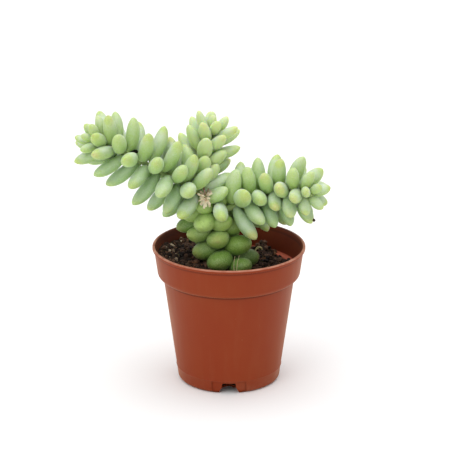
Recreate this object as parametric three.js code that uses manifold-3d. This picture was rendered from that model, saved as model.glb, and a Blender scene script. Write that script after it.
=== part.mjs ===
import * as THREE from 'three';
import { mergeVertices } from 'three/addons/utils/BufferGeometryUtils.js';
import Module from 'manifold-3d';

// A burro's tail in a small nursery pot. Sizes are in millimetres. The origin is the middle of the
// pot's flat base, +Z is up, the short arm of the plant points to +X and the front is -Y.

// Pot
const POT_HEIGHT = 54.8;
const RIM_RADIUS = 30;
const WALL = 0.9;
const COLLAR_TOP_RADIUS = 29.3;
const COLLAR_FOOT_RADIUS = 28.1;
const COLLAR_HEIGHT = 12.4;
const COLLAR_ROUND = 2.3;
const CREASE_STEP = 0.4;
const LEDGE_FALL = 0.4;
const LEDGE_WIDTH = 0.4;
const COVE_HEIGHT = 2;
const LIP_HEIGHT = 1.5;
const LIP_WIDTH = 1;
const LIP_ROUND = 0.45;
const BODY_TOP_RADIUS = 25.8;
const BODY_FOOT_RADIUS = 20.2;
const FOOT_ROUND_HEIGHT = 1.6;
const INNER_FOOT_BEND = [0.8, 0.3];
const BASE_RADIUS = 18.6;
const POT_SIDES = 40;
const ROUND_STEPS = 3;
const FOOT_ROUND_STEPS = 4;
const DRAIN_COUNT = 3;
const DRAIN_WIDTH = 8.3;
const DRAIN_WAIST_WIDTH = 5.7;
const DRAIN_WAIST_HEIGHT = 2.4;
const DRAIN_TOP_WIDTH = 5.1;
const DRAIN_HEIGHT = 4.3;
const DRAIN_SHOULDER_RADIUS = 14.3;
const DRAIN_INNER_RADIUS = 11.9;
const RECESS_WIDTH = 13.5;
const RECESS_BOTTOM = 0.4;
const RECESS_TOP = 5;
const RECESS_DEPTH = 0.3;

// Clearance between a piece and its neighbour, the finest detail that is kept, how far a cut is taken
// past the surface it opens, and the distance within which two points are one
const GAP = 0.3;
const SLIVER = 0.04;
const CUT_MARGIN = 1;
const WELD = 1e-4;
const TINY = 1e-6;

// Soil
const SOIL_DEPTH_BELOW_RIM = 8;
const SOIL_FALL_TO_RIGHT = 0.165;
const SWELL_HEIGHT = 0.7;
const SWELL_SPREAD = [3.2, 3.7];
const SWELL_SHIFT = [1.1, -0.4];
const LUMP_HEIGHT = 0.35;
const LUMP_SPREAD = [1.1, 2.5];
const LUMP_CROSS_SPREAD = [2, 1.2];
const BANK_PLACE = [14, 19];
const BANK_RADIUS = 3.4;
const BANK_HEIGHT = 4.2;
const SOIL_CELLS = 17;
const CRUMB_COUNT = 9;
const CRUMB_RADII = [0.84, 1.68];
const CRUMB_SPREAD = 25;
const CRUMB_FLATNESS = 0.75;
const CRUMB_RISE = 0.2;
const CRUMB_SEED = 53;

// Stems and leaves
const STEM_SIDES = 7;
const STEM_STEPS = 6;
const MAIN_STEM_RADIUS = 2.5;
const SHOOT_STEM_RADIUS = 2;
const BURIED_LENGTH = 14;
const GOLDEN_ANGLE = 137.5;
const LEAF_SIDES = 6;
const LEAF_RINGS = 4;
const YOUNG_LEAF_LENGTH = 11.3;
const YOUNG_LEAF_SIDES = 5;
const YOUNG_LEAF_RINGS = 3;
const LEAF_THICKNESS = 0.88;
const ROOT_FULLNESS = 2.3;
const TIP_FULLNESS = 1.95;
const WIDEST_PLACE = 1.15;
const LEAF_BEND = 0.08;
const LEAF_LIGHT_SEEKING = 0.6;
const FACET_FULLNESS = 1.05;

// Dried flower: a star of bracts on a short stalk
const FLOWER = [-9.1, -7.5, 76.6];
const FLOWER_RADIUS = 3.3;
const FLOWER_FACING = [-0.1, -0.9, 0.05];
const FLOWER_DEPTH = 1.7;
const FLOWER_STALK_RADIUS = 0.6;
const FLOWER_STALK_STEPS = 3;
const FLOWER_SEED = 29;
const BRACT_COUNT = 11;
const BRACT_LENGTH = 3.1;
const BRACT_LEVEL_SHARE = 0.6;
const BRACT_LENGTH_RANGE = [0.8, 1.1];
const BRACT_WIDTH = 1.1;
const BRACT_OPENING = [112, 12];
const BRACT_OPENING_WANDER = 20;

// Colour and roughness of each finish
const TERRACOTTA_PLASTIC = [0x8d4030, 0.5];
const LEAF_GREEN = [0xa9c98a, 0.55];
const DRY_BRACT = [0xcdb48c, 0.9];
const DAMP_SOIL = [0x2a1e18, 1];

const wasm = await Module();
wasm.setup();

/** Turns a closed geometry into a solid that can be joined and cut. */
function solidOf(geometry) {
  const bare = geometry.clone();
  bare.deleteAttribute('normal');
  bare.deleteAttribute('uv');
  const merged = mergeVertices(bare, WELD);
  return new wasm.Manifold(new wasm.Mesh({
    numProp: 3,
    vertProperties: new Float32Array(merged.attributes.position.array),
    triVerts: new Uint32Array(merged.index.array),
  }));
}

/** Keeps the largest body of a solid, so that scraps of a cut are dropped. */
function largestBody(solid) {
  return solid.decompose().sort((a, b) => b.volume() - a.volume())[0];
}

/** Joins solids into one and smooths away slivers finer than can be made. */
function joined(solids) {
  return solids.reduce((whole, solid) => whole.add(solid)).simplify(SLIVER);
}

/** Makes the named mesh of one piece from its solid. */
function pieceOf(name, solid, [color, roughness]) {
  const { vertProperties, triVerts } = solid.getMesh();
  const geometry = new THREE.BufferGeometry();
  geometry.setAttribute('position', new THREE.BufferAttribute(vertProperties, 3));
  geometry.setIndex(new THREE.BufferAttribute(triVerts, 1));
  const flat = geometry.toNonIndexed();
  flat.computeVertexNormals();
  const mesh = new THREE.Mesh(flat, new THREE.MeshStandardMaterial({ color, roughness, metalness: 0 }));
  mesh.name = name;
  return mesh;
}

const DRAW_STEP = 16807;
const DRAW_RANGE = 2147483647;

/** A seeded draw of numbers from 0 to 1. */
function draws(seed) {
  let state = seed;
  return () => {
    state = (state * DRAW_STEP) % DRAW_RANGE;
    return state / DRAW_RANGE;
  };
}

function mix(from, to, share) {
  return from + (to - from) * share;
}

/** Reads a value off a line through points at the given stations. */
function along(stations, values, at) {
  for (let i = 1; i < stations.length; i += 1) {
    if (at <= stations[i]) {
      const share = (at - stations[i - 1]) / (stations[i] - stations[i - 1]);
      return mix(values[i - 1], values[i], share);
    }
  }
  return values[values.length - 1];
}

// Pot: one thin moulded wall with a collar, an inner ledge, a rounded foot and drain notches

const LEDGE_HEIGHT = POT_HEIGHT - COLLAR_HEIGHT + WALL;

/** Points of a quarter round that leaves one point level and reaches the other upright. */
function quarter(from, to, steps) {
  const points = [];
  for (let i = 0; i <= steps; i += 1) {
    const angle = (i / steps) * Math.PI / 2;
    points.push(new THREE.Vector2(
      mix(from.x, to.x, Math.sin(angle)),
      mix(from.y, to.y, 1 - Math.cos(angle)),
    ));
  }
  return points;
}

/** The outside of the pot, from the middle of the base up to the rim. */
function potOutside() {
  const creaseHeight = POT_HEIGHT - COLLAR_HEIGHT;
  const at = (radius, height) => new THREE.Vector2(radius, height);
  return [
    at(0, 0),
    ...quarter(at(BASE_RADIUS, 0), at(BODY_FOOT_RADIUS, FOOT_ROUND_HEIGHT), FOOT_ROUND_STEPS),
    at(BODY_TOP_RADIUS, creaseHeight),
    ...quarter(
      at(BODY_TOP_RADIUS + CREASE_STEP, creaseHeight + CREASE_STEP / 4),
      at(COLLAR_FOOT_RADIUS, creaseHeight + COLLAR_ROUND),
      ROUND_STEPS,
    ),
    at(COLLAR_TOP_RADIUS, POT_HEIGHT - LIP_HEIGHT),
    at(RIM_RADIUS, POT_HEIGHT - LIP_HEIGHT / 2),
    at(RIM_RADIUS - LIP_ROUND / 3, POT_HEIGHT - LIP_ROUND / 2),
    at(RIM_RADIUS - LIP_ROUND, POT_HEIGHT),
  ];
}

/** The inside of the pot from the rim down to the middle of the floor, held off by a clearance. */
function potInside(clearance) {
  const inset = WALL + clearance;
  const [bendOut, bendUp] = INNER_FOOT_BEND;
  const at = (radius, height) => new THREE.Vector2(radius, height);
  const cove = quarter(
    at(BODY_TOP_RADIUS + LEDGE_WIDTH - inset, LEDGE_HEIGHT + clearance),
    at(COLLAR_FOOT_RADIUS - inset, LEDGE_HEIGHT + COVE_HEIGHT + clearance),
    ROUND_STEPS,
  );
  return [
    at(RIM_RADIUS - LIP_WIDTH - clearance, POT_HEIGHT),
    at(COLLAR_TOP_RADIUS - inset, POT_HEIGHT - LIP_HEIGHT),
    ...cove.reverse(),
    at(BODY_TOP_RADIUS - inset, LEDGE_HEIGHT - LEDGE_FALL + clearance),
    at(BODY_FOOT_RADIUS - inset, FOOT_ROUND_HEIGHT + inset),
    at(mix(BASE_RADIUS, BODY_FOOT_RADIUS, bendOut) - inset, FOOT_ROUND_HEIGHT * bendUp + inset),
    at(BASE_RADIUS - inset, inset),
    at(0, inset),
  ];
}

/** Radius of the pot's inside at a height above the foot round: body, cove above the ledge, collar. */
function insideRadius(height) {
  const collarFoot = LEDGE_HEIGHT + COVE_HEIGHT;
  if (height > collarFoot) {
    return along([collarFoot, POT_HEIGHT], [COLLAR_FOOT_RADIUS - WALL, RIM_RADIUS - LIP_WIDTH], height);
  }
  if (height > LEDGE_HEIGHT) {
    const rise = (height - LEDGE_HEIGHT) / COVE_HEIGHT;
    const coveFoot = BODY_TOP_RADIUS - WALL + LEDGE_WIDTH;
    return mix(coveFoot, COLLAR_FOOT_RADIUS - WALL, Math.sqrt(1 - (1 - rise) ** 2));
  }
  return along([FOOT_ROUND_HEIGHT, LEDGE_HEIGHT], [BODY_FOOT_RADIUS - WALL, BODY_TOP_RADIUS - WALL], height);
}

function lathe(profile) {
  const geometry = new THREE.LatheGeometry(profile, POT_SIDES);
  geometry.rotateX(Math.PI / 2);
  return solidOf(geometry);
}

/** A drain notch at the front of the foot: pointed in plan, and narrower upwards. */
function drainNotch(clearance) {
  const reach = BODY_FOOT_RADIUS + 2 * CUT_MARGIN;
  const foot = DRAIN_WIDTH / 2 + clearance;
  const waist = DRAIN_WAIST_WIDTH / 2 + clearance;
  const top = DRAIN_TOP_WIDTH / 2 + clearance;
  const plan = new THREE.Shape([
    new THREE.Vector2(-foot, -reach),
    new THREE.Vector2(foot, -reach),
    new THREE.Vector2(foot, -BASE_RADIUS),
    new THREE.Vector2(waist, clearance - DRAIN_SHOULDER_RADIUS),
    new THREE.Vector2(0, clearance - DRAIN_INNER_RADIUS),
    new THREE.Vector2(-waist, clearance - DRAIN_SHOULDER_RADIUS),
    new THREE.Vector2(-foot, -BASE_RADIUS),
  ]);
  const height = DRAIN_HEIGHT + clearance;
  const upright = new THREE.ExtrudeGeometry(plan, { depth: height + 2 * CUT_MARGIN, bevelEnabled: false });
  upright.translate(0, 0, -CUT_MARGIN);
  const section = new THREE.Shape([
    new THREE.Vector2(-foot, -CUT_MARGIN),
    new THREE.Vector2(foot, -CUT_MARGIN),
    new THREE.Vector2(foot, 0),
    new THREE.Vector2(waist, DRAIN_WAIST_HEIGHT),
    new THREE.Vector2(top, height),
    new THREE.Vector2(-top, height),
    new THREE.Vector2(-waist, DRAIN_WAIST_HEIGHT),
    new THREE.Vector2(-foot, 0),
  ]);
  const level = new THREE.ExtrudeGeometry(section, { depth: reach, bevelEnabled: false });
  level.rotateX(Math.PI / 2);
  return solidOf(upright).intersect(solidOf(level));
}

/** The shallow panel pressed into the foot around a drain notch. */
function drainRecess() {
  const core = potOutside().map((point) => new THREE.Vector2(Math.max(point.x - RECESS_DEPTH, 0), point.y));
  core.push(new THREE.Vector2(0, POT_HEIGHT));
  const block = new THREE.BoxGeometry(RECESS_WIDTH, BODY_TOP_RADIUS, RECESS_TOP - RECESS_BOTTOM);
  block.translate(0, -BODY_TOP_RADIUS, (RECESS_TOP + RECESS_BOTTOM) / 2);
  return solidOf(block).subtract(lathe(core));
}

/** Cuts a shape that stands at the front out of a solid at every drain place. */
function cutAtDrains(solid, shape) {
  let left = solid;
  for (let i = 0; i < DRAIN_COUNT; i += 1) {
    left = left.subtract(shape.rotate([0, 0, (i * 360) / DRAIN_COUNT]));
  }
  return left;
}

function makePot() {
  const wall = lathe([...potOutside(), ...potInside(0)]);
  return cutAtDrains(wall, joined([drainNotch(0), drainRecess()]));
}

// Growth rule: where every leaf of a shoot starts, points and how big it is

// Each path is the four points of a curve from a shoot's foot to its tip. Angles are in degrees.
const SHOOTS = [
  {
    name: 'main_stem',
    path: [[3, -3.5, 41.5], [-2.7, 0.2, 57.9], [-8.7, 3.1, 64.8], [-8.6, 0.6, 71.6]],
    stemRadius: MAIN_STEM_RADIUS,
    leaves: 22,
    leadLeaves: 0,
    seed: 229,
    turn: -1,
    phase: 205.7,
    firstAt: 0.12,
    lastAt: 0.98,
    crowding: 1.04,
    lift: 0.01,
    openingAtBase: 110.8,
    openingAtTip: 69.4,
    openingCurve: 1.45,
    lengths: [12.9, 11, 12.9, 7],
    widths: [9.4, 9.7, 8.6, 7.2],
  },
  {
    name: 'left_stem',
    path: [[-14, -1.7, 78.1], [-18.6, -4.1, 81.6], [-32.7, -0.7, 89.2], [-51.4, -3.2, 98.9]],
    stemRadius: SHOOT_STEM_RADIUS,
    leaves: 46,
    leadLeaves: 5,
    seed: 24,
    turn: -1,
    phase: 234,
    firstAt: 0.062,
    lastAt: 1,
    crowding: 1.6,
    lift: 0.24,
    openingAtBase: 102,
    openingAtTip: 25,
    openingCurve: 2.06,
    lengths: [15.1, 15.5, 13.8, 6.5],
    widths: [6.9, 6.8, 6.1, 3.8],
  },
  {
    name: 'centre_stem',
    path: [[-11.7, 1.9, 77.6], [-11.9, 6.4, 82.2], [-9.5, 8.8, 89.3], [-5.8, 8.5, 99.3]],
    stemRadius: SHOOT_STEM_RADIUS,
    leaves: 28,
    leadLeaves: 1,
    seed: 24,
    turn: -1,
    phase: 241,
    firstAt: 0.055,
    lastAt: 1,
    crowding: 1.34,
    lift: 0.13,
    openingAtBase: 80,
    openingAtTip: 27,
    openingCurve: 1.78,
    lengths: [12.6, 14.1, 12.3, 6.1],
    widths: [6, 6, 5.1, 3.5],
  },
  {
    name: 'right_stem',
    path: [[-2.4, -2.7, 70.5], [9.7, 1.1, 74.1], [20.4, 5.9, 78.6], [31.2, -9.5, 78.7]],
    stemRadius: SHOOT_STEM_RADIUS,
    leaves: 40,
    leadLeaves: 3,
    seed: 50,
    turn: 1,
    phase: 98,
    firstAt: 0.099,
    lastAt: 1,
    crowding: 1.25,
    lift: -0.04,
    openingAtBase: 94,
    openingAtTip: 46,
    openingCurve: 1.95,
    lengths: [15, 14.4, 13.4, 6],
    widths: [6.9, 7, 6.4, 3.8],
  },
];
const FORK = SHOOTS[0].path[3];
const CLOCK_WANDER = 7;
const OPENING_WANDER = 4.9;
const LENGTH_STATIONS = [0, 0.35, 0.75, 1];
const ROOT_OFFSET = 0.8;
const ROOT_COVER = 1.2;
const LENGTH_WANDER = 0.16;
const WIDTH_WANDER = 0.1;

function vectorOf(point) {
  return new THREE.Vector3(...point);
}

function pathOf(shoot) {
  return new THREE.CubicBezierCurve3(...shoot.path.map(vectorOf));
}

/** Where leaf k stands on its stem and which way the stem grows there. Lead leaves count down from -1. */
function standOf(shoot, k) {
  const path = pathOf(shoot);
  if (k < 0) {
    const first = path.getPoint(shoot.firstAt);
    const lead = first.clone().sub(vectorOf(FORK));
    return { onStem: first.addScaledVector(lead, k / (shoot.leadLeaves + 2)), growth: lead.normalize() };
  }
  const share = k / (shoot.leaves - 1);
  const at = mix(shoot.firstAt, shoot.lastAt, 1 - (1 - share) ** shoot.crowding);
  return { onStem: path.getPoint(at), growth: path.getTangent(at) };
}

/** Places the leaves of one shoot, each turned from the last by the golden angle. */
function sproutLeaves(shoot) {
  const draw = draws(shoot.seed);
  const leaves = [];
  for (let count = 0; count < shoot.leaves + shoot.leadLeaves; count += 1) {
    const k = count < shoot.leaves ? count : shoot.leaves - 1 - count;
    const share = Math.max(k, 0) / (shoot.leaves - 1);
    const { onStem, growth } = standOf(shoot, k);
    const level = new THREE.Vector3(0, 1, 0).addScaledVector(growth, -growth.y).normalize();
    const across = growth.clone().cross(level);
    const clockWander = draw() - 0.5;
    const openingWander = draw() - 0.5;
    const sizeWander = draw() - 0.5;
    const clock = THREE.MathUtils.degToRad(
      shoot.phase + shoot.turn * GOLDEN_ANGLE * k + 2 * CLOCK_WANDER * clockWander,
    );
    const opening = THREE.MathUtils.degToRad(
      mix(shoot.openingAtBase, shoot.openingAtTip, share ** shoot.openingCurve)
      + 2 * OPENING_WANDER * openingWander,
    );
    const outward = level.multiplyScalar(Math.cos(clock)).addScaledVector(across, Math.sin(clock));
    const direction = growth.clone().multiplyScalar(Math.cos(opening))
      .addScaledVector(outward, Math.sin(opening))
      .add(new THREE.Vector3(0, 0, shoot.lift))
      .normalize();
    leaves.push({
      shoot: shoot.name,
      root: onStem.addScaledVector(outward, ROOT_OFFSET),
      growth,
      direction,
      length: along(LENGTH_STATIONS, shoot.lengths, share) * (1 + LENGTH_WANDER * sizeWander),
      width: along(LENGTH_STATIONS, shoot.widths, share) * (1 + WIDTH_WANDER * sizeWander),
    });
  }
  return leaves;
}

/** Half the leaf's width at a share of its length: full, blunt at the tip, drawn in at the root. */
function halfWidth(width, share) {
  const place = 2 * share ** WIDEST_PLACE - 1;
  const fullness = place > 0 ? TIP_FULLNESS : ROOT_FULLNESS;
  return (width / 2) * (1 - Math.abs(place) ** fullness) ** (1 / fullness);
}

/** Height of the soil's surface: it falls to the right, swells, and banks up at the back wall. */
function soilHeight(x, y) {
  const swell = SWELL_HEIGHT * Math.sin(x / SWELL_SPREAD[0] + SWELL_SHIFT[0])
    * Math.cos(y / SWELL_SPREAD[1] + SWELL_SHIFT[1]);
  const lumps = LUMP_HEIGHT * Math.sin(x / LUMP_SPREAD[0] - y / LUMP_SPREAD[1])
    * Math.cos(y / LUMP_CROSS_SPREAD[1] + x / LUMP_CROSS_SPREAD[0]);
  const bankReach = Math.hypot(x - BANK_PLACE[0], y - BANK_PLACE[1]) / BANK_RADIUS;
  const bank = BANK_HEIGHT * Math.exp(-(bankReach ** 2));
  return POT_HEIGHT - SOIL_DEPTH_BELOW_RIM - SOIL_FALL_TO_RIGHT * x + swell + lumps + bank;
}

// Settling: crowded leaves turn about their roots until they lie side by side
const FEELERS = [0.34, 0.6, 0.86];
const SETTLE_ROUNDS = 16;
const SETTLE_GAIN = 0.55;
const PRESS = 0.96;
const CLEAR_OF_OTHERS = 0.5;
const SINK_SHARE = 0.7;
const MARKER_STEPS = 10;

function feelerPoint(leaf, share) {
  return leaf.root.clone().addScaledVector(leaf.direction, leaf.length * share);
}

/** Points down the middle of each stem that leaves of other shoots keep off. */
function stemMarkers() {
  const markers = [];
  for (const shoot of SHOOTS) {
    for (const point of pathOf(shoot).getPoints(MARKER_STEPS)) {
      markers.push({ shoot: shoot.name, centre: point, radius: shoot.stemRadius });
    }
  }
  markers.push({ shoot: 'dried_flower', centre: vectorOf(FLOWER), radius: FLOWER_RADIUS });
  return markers;
}

function settle(leaves) {
  const markers = stemMarkers();
  for (let round = 0; round < SETTLE_ROUNDS; round += 1) {
    const feelers = leaves.flatMap((leaf) => FEELERS.map((share) => ({
      leaf,
      share,
      centre: feelerPoint(leaf, share),
      radius: halfWidth(leaf.width, share),
      push: new THREE.Vector3(),
    })));
    for (let i = 0; i < feelers.length; i += 1) {
      const a = feelers[i];
      for (let j = i + 1; j < feelers.length; j += 1) {
        const b = feelers[j];
        if (a.leaf !== b.leaf) {
          const sameShoot = a.leaf.shoot === b.leaf.shoot;
          const limit = (a.radius + b.radius) * (sameShoot ? PRESS : 1) + (sameShoot ? 0 : CLEAR_OF_OTHERS);
          const away = a.centre.clone().sub(b.centre);
          const distance = away.length();
          if (distance < limit) {
            away.multiplyScalar((limit - distance) / (distance + TINY) / 2);
            a.push.add(away);
            b.push.sub(away);
          }
        }
      }
      for (const marker of markers) {
        const limit = a.radius + marker.radius + CLEAR_OF_OTHERS;
        const away = a.centre.clone().sub(marker.centre);
        const distance = away.length();
        if (marker.shoot !== a.leaf.shoot && distance < limit) {
          a.push.addScaledVector(away, (limit - distance) / (distance + TINY));
        }
      }
      const bed = soilHeight(a.centre.x, a.centre.y) + a.radius * SINK_SHARE;
      a.push.z += Math.max(bed - a.centre.z, 0);
      const reach = Math.hypot(a.centre.x, a.centre.y);
      const room = insideRadius(Math.min(a.centre.z, POT_HEIGHT)) - a.radius - CLEAR_OF_OTHERS;
      if (a.centre.z < POT_HEIGHT + a.radius && reach > room) {
        a.push.x -= (a.centre.x / reach) * (reach - room);
        a.push.y -= (a.centre.y / reach) * (reach - room);
      }
    }
    for (const feeler of feelers) {
      feeler.leaf.direction.addScaledVector(feeler.push, (feeler.share * SETTLE_GAIN) / feeler.leaf.length);
    }
    for (const leaf of leaves) {
      leaf.direction.normalize();
    }
  }
}

/** The closed skin of one leaf, or of the space around it when it is swollen by a clearance. */
function leafSolid(leaf, swelling = 0) {
  const { root, direction, growth, length, width } = leaf;
  const young = length < YOUNG_LEAF_LENGTH;
  const sides = young ? YOUNG_LEAF_SIDES : LEAF_SIDES;
  const rings = young ? YOUNG_LEAF_RINGS : LEAF_RINGS;
  const upper = growth.clone().add(new THREE.Vector3(0, 0, LEAF_LIGHT_SEEKING));
  upper.addScaledVector(direction, -upper.dot(direction)).normalize();
  const side = direction.clone().cross(upper);
  const geometry = new THREE.SphereGeometry(1, sides, rings);
  const places = geometry.attributes.position;
  for (let i = 0; i < places.count; i += 1) {
    const share = (1 + places.getY(i)) / 2;
    const ring = Math.hypot(places.getX(i), places.getZ(i));
    const radius = ring < TINY ? 0 : (halfWidth(width, share) * FACET_FULLNESS + swelling) / ring;
    const reach = length * share + swelling * places.getY(i);
    const place = root.clone()
      .addScaledVector(direction, reach)
      .addScaledVector(upper, length * LEAF_BEND * share * share)
      .addScaledVector(side, radius * places.getX(i))
      .addScaledVector(upper, radius * LEAF_THICKNESS * places.getZ(i));
    places.setXYZ(i, place.x, place.y, place.z);
  }
  return solidOf(geometry);
}

/** A round stem along a path of points. */
function stemSolid(points, radius, steps) {
  const corners = [];
  for (let i = 0; i < STEM_SIDES; i += 1) {
    const angle = (i / STEM_SIDES) * 2 * Math.PI;
    corners.push(new THREE.Vector2(radius * Math.cos(angle), radius * Math.sin(angle)));
  }
  return solidOf(new THREE.ExtrudeGeometry(new THREE.Shape(corners), {
    steps,
    bevelEnabled: false,
    extrudePath: new THREE.CatmullRomCurve3(points),
  }));
}

/** The points that a shoot's stem runs through, from where it is rooted to just past its last leaves. */
function stemPoints(shoot) {
  const path = pathOf(shoot);
  const points = [0, 0.25, 0.5, 0.75, 1].map((at) => path.getPoint(at));
  points.push(path.getPoint(1).addScaledVector(path.getTangent(1), ROOT_COVER));
  if (shoot.name === 'main_stem') {
    const soilEnd = points[0].clone().add(new THREE.Vector3(0, 0, -BURIED_LENGTH));
    return [soilEnd, ...points];
  }
  return [vectorOf(FORK), ...points];
}

function shootStem(shoot, swelling = 0) {
  return stemSolid(stemPoints(shoot), shoot.stemRadius + swelling, STEM_STEPS);
}

/** Joins a shoot's stem and leaves into one body. */
function shootSolid(shoot, leaves) {
  return joined([shootStem(shoot), ...leaves.map((leaf) => leafSolid(leaf))]);
}

/** The space that a shoot takes with a clearance around it. */
function shootSpace(shoot, leaves, clearance) {
  return joined([shootStem(shoot, clearance), ...leaves.map((leaf) => leafSolid(leaf, clearance))]);
}

// Dried flower: its stalk rises from the fork and its bracts spread round an axis that faces the front

function makeFlower() {
  const draw = draws(FLOWER_SEED);
  const centre = vectorOf(FLOWER);
  const foot = vectorOf(FORK);
  const middle = foot.clone().lerp(centre, 0.5);
  const stalk = stemSolid([foot, middle, centre], FLOWER_STALK_RADIUS, FLOWER_STALK_STEPS);
  const axis = vectorOf(FLOWER_FACING).normalize();
  const level = new THREE.Vector3(1, 0, 0).addScaledVector(axis, -axis.x).normalize();
  const across = axis.clone().cross(level);
  const bracts = [];
  for (let k = 0; k < BRACT_COUNT; k += 1) {
    const share = k / (BRACT_COUNT - 1);
    const clock = THREE.MathUtils.degToRad(GOLDEN_ANGLE * k);
    const opening = THREE.MathUtils.degToRad(
      mix(...BRACT_OPENING, share) + BRACT_OPENING_WANDER * (draw() - 0.5),
    );
    const direction = axis.clone().multiplyScalar(Math.cos(opening))
      .addScaledVector(level, Math.sin(opening) * Math.cos(clock))
      .addScaledVector(across, Math.sin(opening) * Math.sin(clock));
    const upright = mix(BRACT_LEVEL_SHARE, 1, Math.abs(direction.z));
    bracts.push(leafSolid({
      root: centre.clone().addScaledVector(axis, -FLOWER_DEPTH * (1 - share)),
      growth: axis,
      direction,
      length: BRACT_LENGTH * upright * mix(...BRACT_LENGTH_RANGE, draw()),
      width: BRACT_WIDTH,
    }));
  }
  return joined([stalk, ...bracts]);
}

// Soil: the pot's filling under an uneven surface with crumbs on it

/** The air above the soil, whose underside is the soil's surface. */
function airAboveSoil() {
  const span = 2 * RIM_RADIUS;
  const geometry = new THREE.BoxGeometry(span, span, span, SOIL_CELLS, SOIL_CELLS, 1);
  const places = geometry.attributes.position;
  for (let i = 0; i < places.count; i += 1) {
    const x = places.getX(i);
    const y = places.getY(i);
    const top = places.getZ(i) > 0;
    places.setZ(i, top ? POT_HEIGHT + CUT_MARGIN : soilHeight(x, y));
  }
  return solidOf(geometry);
}

function crumbs() {
  const draw = draws(CRUMB_SEED);
  const lumps = [];
  for (let k = 0; k < CRUMB_COUNT; k += 1) {
    const reach = CRUMB_SPREAD * Math.sqrt(draw());
    const angle = draw() * 2 * Math.PI;
    const radius = mix(...CRUMB_RADII, draw());
    const x = reach * Math.cos(angle);
    const y = reach * Math.sin(angle);
    const lump = new THREE.IcosahedronGeometry(radius, 0);
    lump.rotateX(2 * Math.PI * draw());
    lump.rotateZ(2 * Math.PI * draw());
    lump.scale(1, 1, CRUMB_FLATNESS);
    lump.translate(x, y, soilHeight(x, y) + radius * CRUMB_RISE);
    lumps.push(solidOf(lump));
  }
  return lumps;
}

function makeSoil() {
  const inside = lathe([...potInside(GAP).reverse(), new THREE.Vector2(0, POT_HEIGHT)]);
  const filling = cutAtDrains(inside, drainNotch(GAP));
  return joined([filling.subtract(airAboveSoil()), ...crumbs()]).intersect(filling);
}

// Assembly: each shoot keeps clear of those made before it

const leavesOf = new Map(SHOOTS.map((shoot) => [shoot.name, sproutLeaves(shoot)]));
settle([...leavesOf.values()].flat());

const plant = new THREE.Group();
plant.add(pieceOf('pot', makePot(), TERRACOTTA_PLASTIC));

let taken = null;
let soil = makeSoil();
for (const shoot of SHOOTS) {
  const leaves = leavesOf.get(shoot.name);
  let solid = shootSolid(shoot, leaves);
  if (taken) {
    solid = solid.subtract(taken);
  }
  const space = shootSpace(shoot, leaves, GAP);
  taken = taken ? taken.add(space) : space;
  soil = soil.subtract(space);
  plant.add(pieceOf(shoot.name, largestBody(solid), LEAF_GREEN));
}
plant.add(pieceOf('dried_flower', largestBody(makeFlower().subtract(taken)), DRY_BRACT));
plant.add(pieceOf('soil', largestBody(soil), DAMP_SOIL));

export default plant;
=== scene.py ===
"""Dresses the potted burro's tail: pot, soil, leafy shoots, dry flower, floor, light and camera."""

import logging
import math
from dataclasses import dataclass, field, replace
from enum import Enum
from functools import cached_property
from typing import Callable, Iterator

import bpy
import numpy as np
from mathutils import Matrix, Vector, noise


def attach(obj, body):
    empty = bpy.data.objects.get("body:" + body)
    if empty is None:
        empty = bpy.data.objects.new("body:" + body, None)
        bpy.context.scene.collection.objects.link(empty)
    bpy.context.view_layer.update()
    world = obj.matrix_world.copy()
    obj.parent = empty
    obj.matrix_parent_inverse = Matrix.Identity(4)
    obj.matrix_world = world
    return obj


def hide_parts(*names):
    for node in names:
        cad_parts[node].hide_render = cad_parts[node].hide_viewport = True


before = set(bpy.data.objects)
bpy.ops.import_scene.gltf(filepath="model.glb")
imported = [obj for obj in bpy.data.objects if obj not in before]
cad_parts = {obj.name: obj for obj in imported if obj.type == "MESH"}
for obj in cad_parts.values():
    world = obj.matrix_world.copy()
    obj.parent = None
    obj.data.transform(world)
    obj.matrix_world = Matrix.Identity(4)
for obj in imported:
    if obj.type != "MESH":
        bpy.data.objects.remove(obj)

log = logging.getLogger("burros_tail")

Piece = bpy.types.Object
Material = bpy.types.Material
Socket = bpy.types.NodeSocket
Colour = tuple[float, float, float]
Place = tuple[float, float, float]
Corner = tuple[float, float]
Span = tuple[float, ...]

# A millimetre in metres, how near two places are that count as one, and the least that is divided by
MM = 0.001
TOUCHING = 1e-6
NEXT_TO_NOTHING = 1e-9

# The attribute that tells a finish the place along a leaf or bract, and its chance, youth and hang
FACTS = "facts"

# The colour sockets of a Mix node: share, lower and upper colour, and result
MIX_SHARE, MIX_UNDER, MIX_OVER = 0, 6, 7
MIX_RESULT = 2

# Pot, in millimetres
POT_HEIGHT = 54.8
RIM_RADIUS = 30.0
WALL = 0.9
COLLAR_TOP_RADIUS = 29.3
COLLAR_FOOT_RADIUS = 28.1
COLLAR_HEIGHT = 12.4
LIP_HEIGHT = 1.5
LIP_WIDTH = 1.0
BODY_TOP_RADIUS = 25.8
BODY_FOOT_RADIUS = 20.2
FOOT_ROUND_HEIGHT = 1.6
BASE_RADIUS = 18.6
HEEL_RADIUS = BASE_RADIUS + (BODY_FOOT_RADIUS - BASE_RADIUS) * 0.8
HEEL_HEIGHT = FOOT_ROUND_HEIGHT * 0.3
CREASE_HEIGHT = POT_HEIGHT - COLLAR_HEIGHT
LIP_FOOT_HEIGHT = POT_HEIGHT - LIP_HEIGHT
LEDGE_HEIGHT = POT_HEIGHT - COLLAR_HEIGHT + WALL
LEDGE_FALL = 0.4
LEDGE_WIDTH = 0.4
COVE_HEIGHT = 2.0
SHELF_HEIGHT = LEDGE_HEIGHT + COVE_HEIGHT - 0.5

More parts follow.
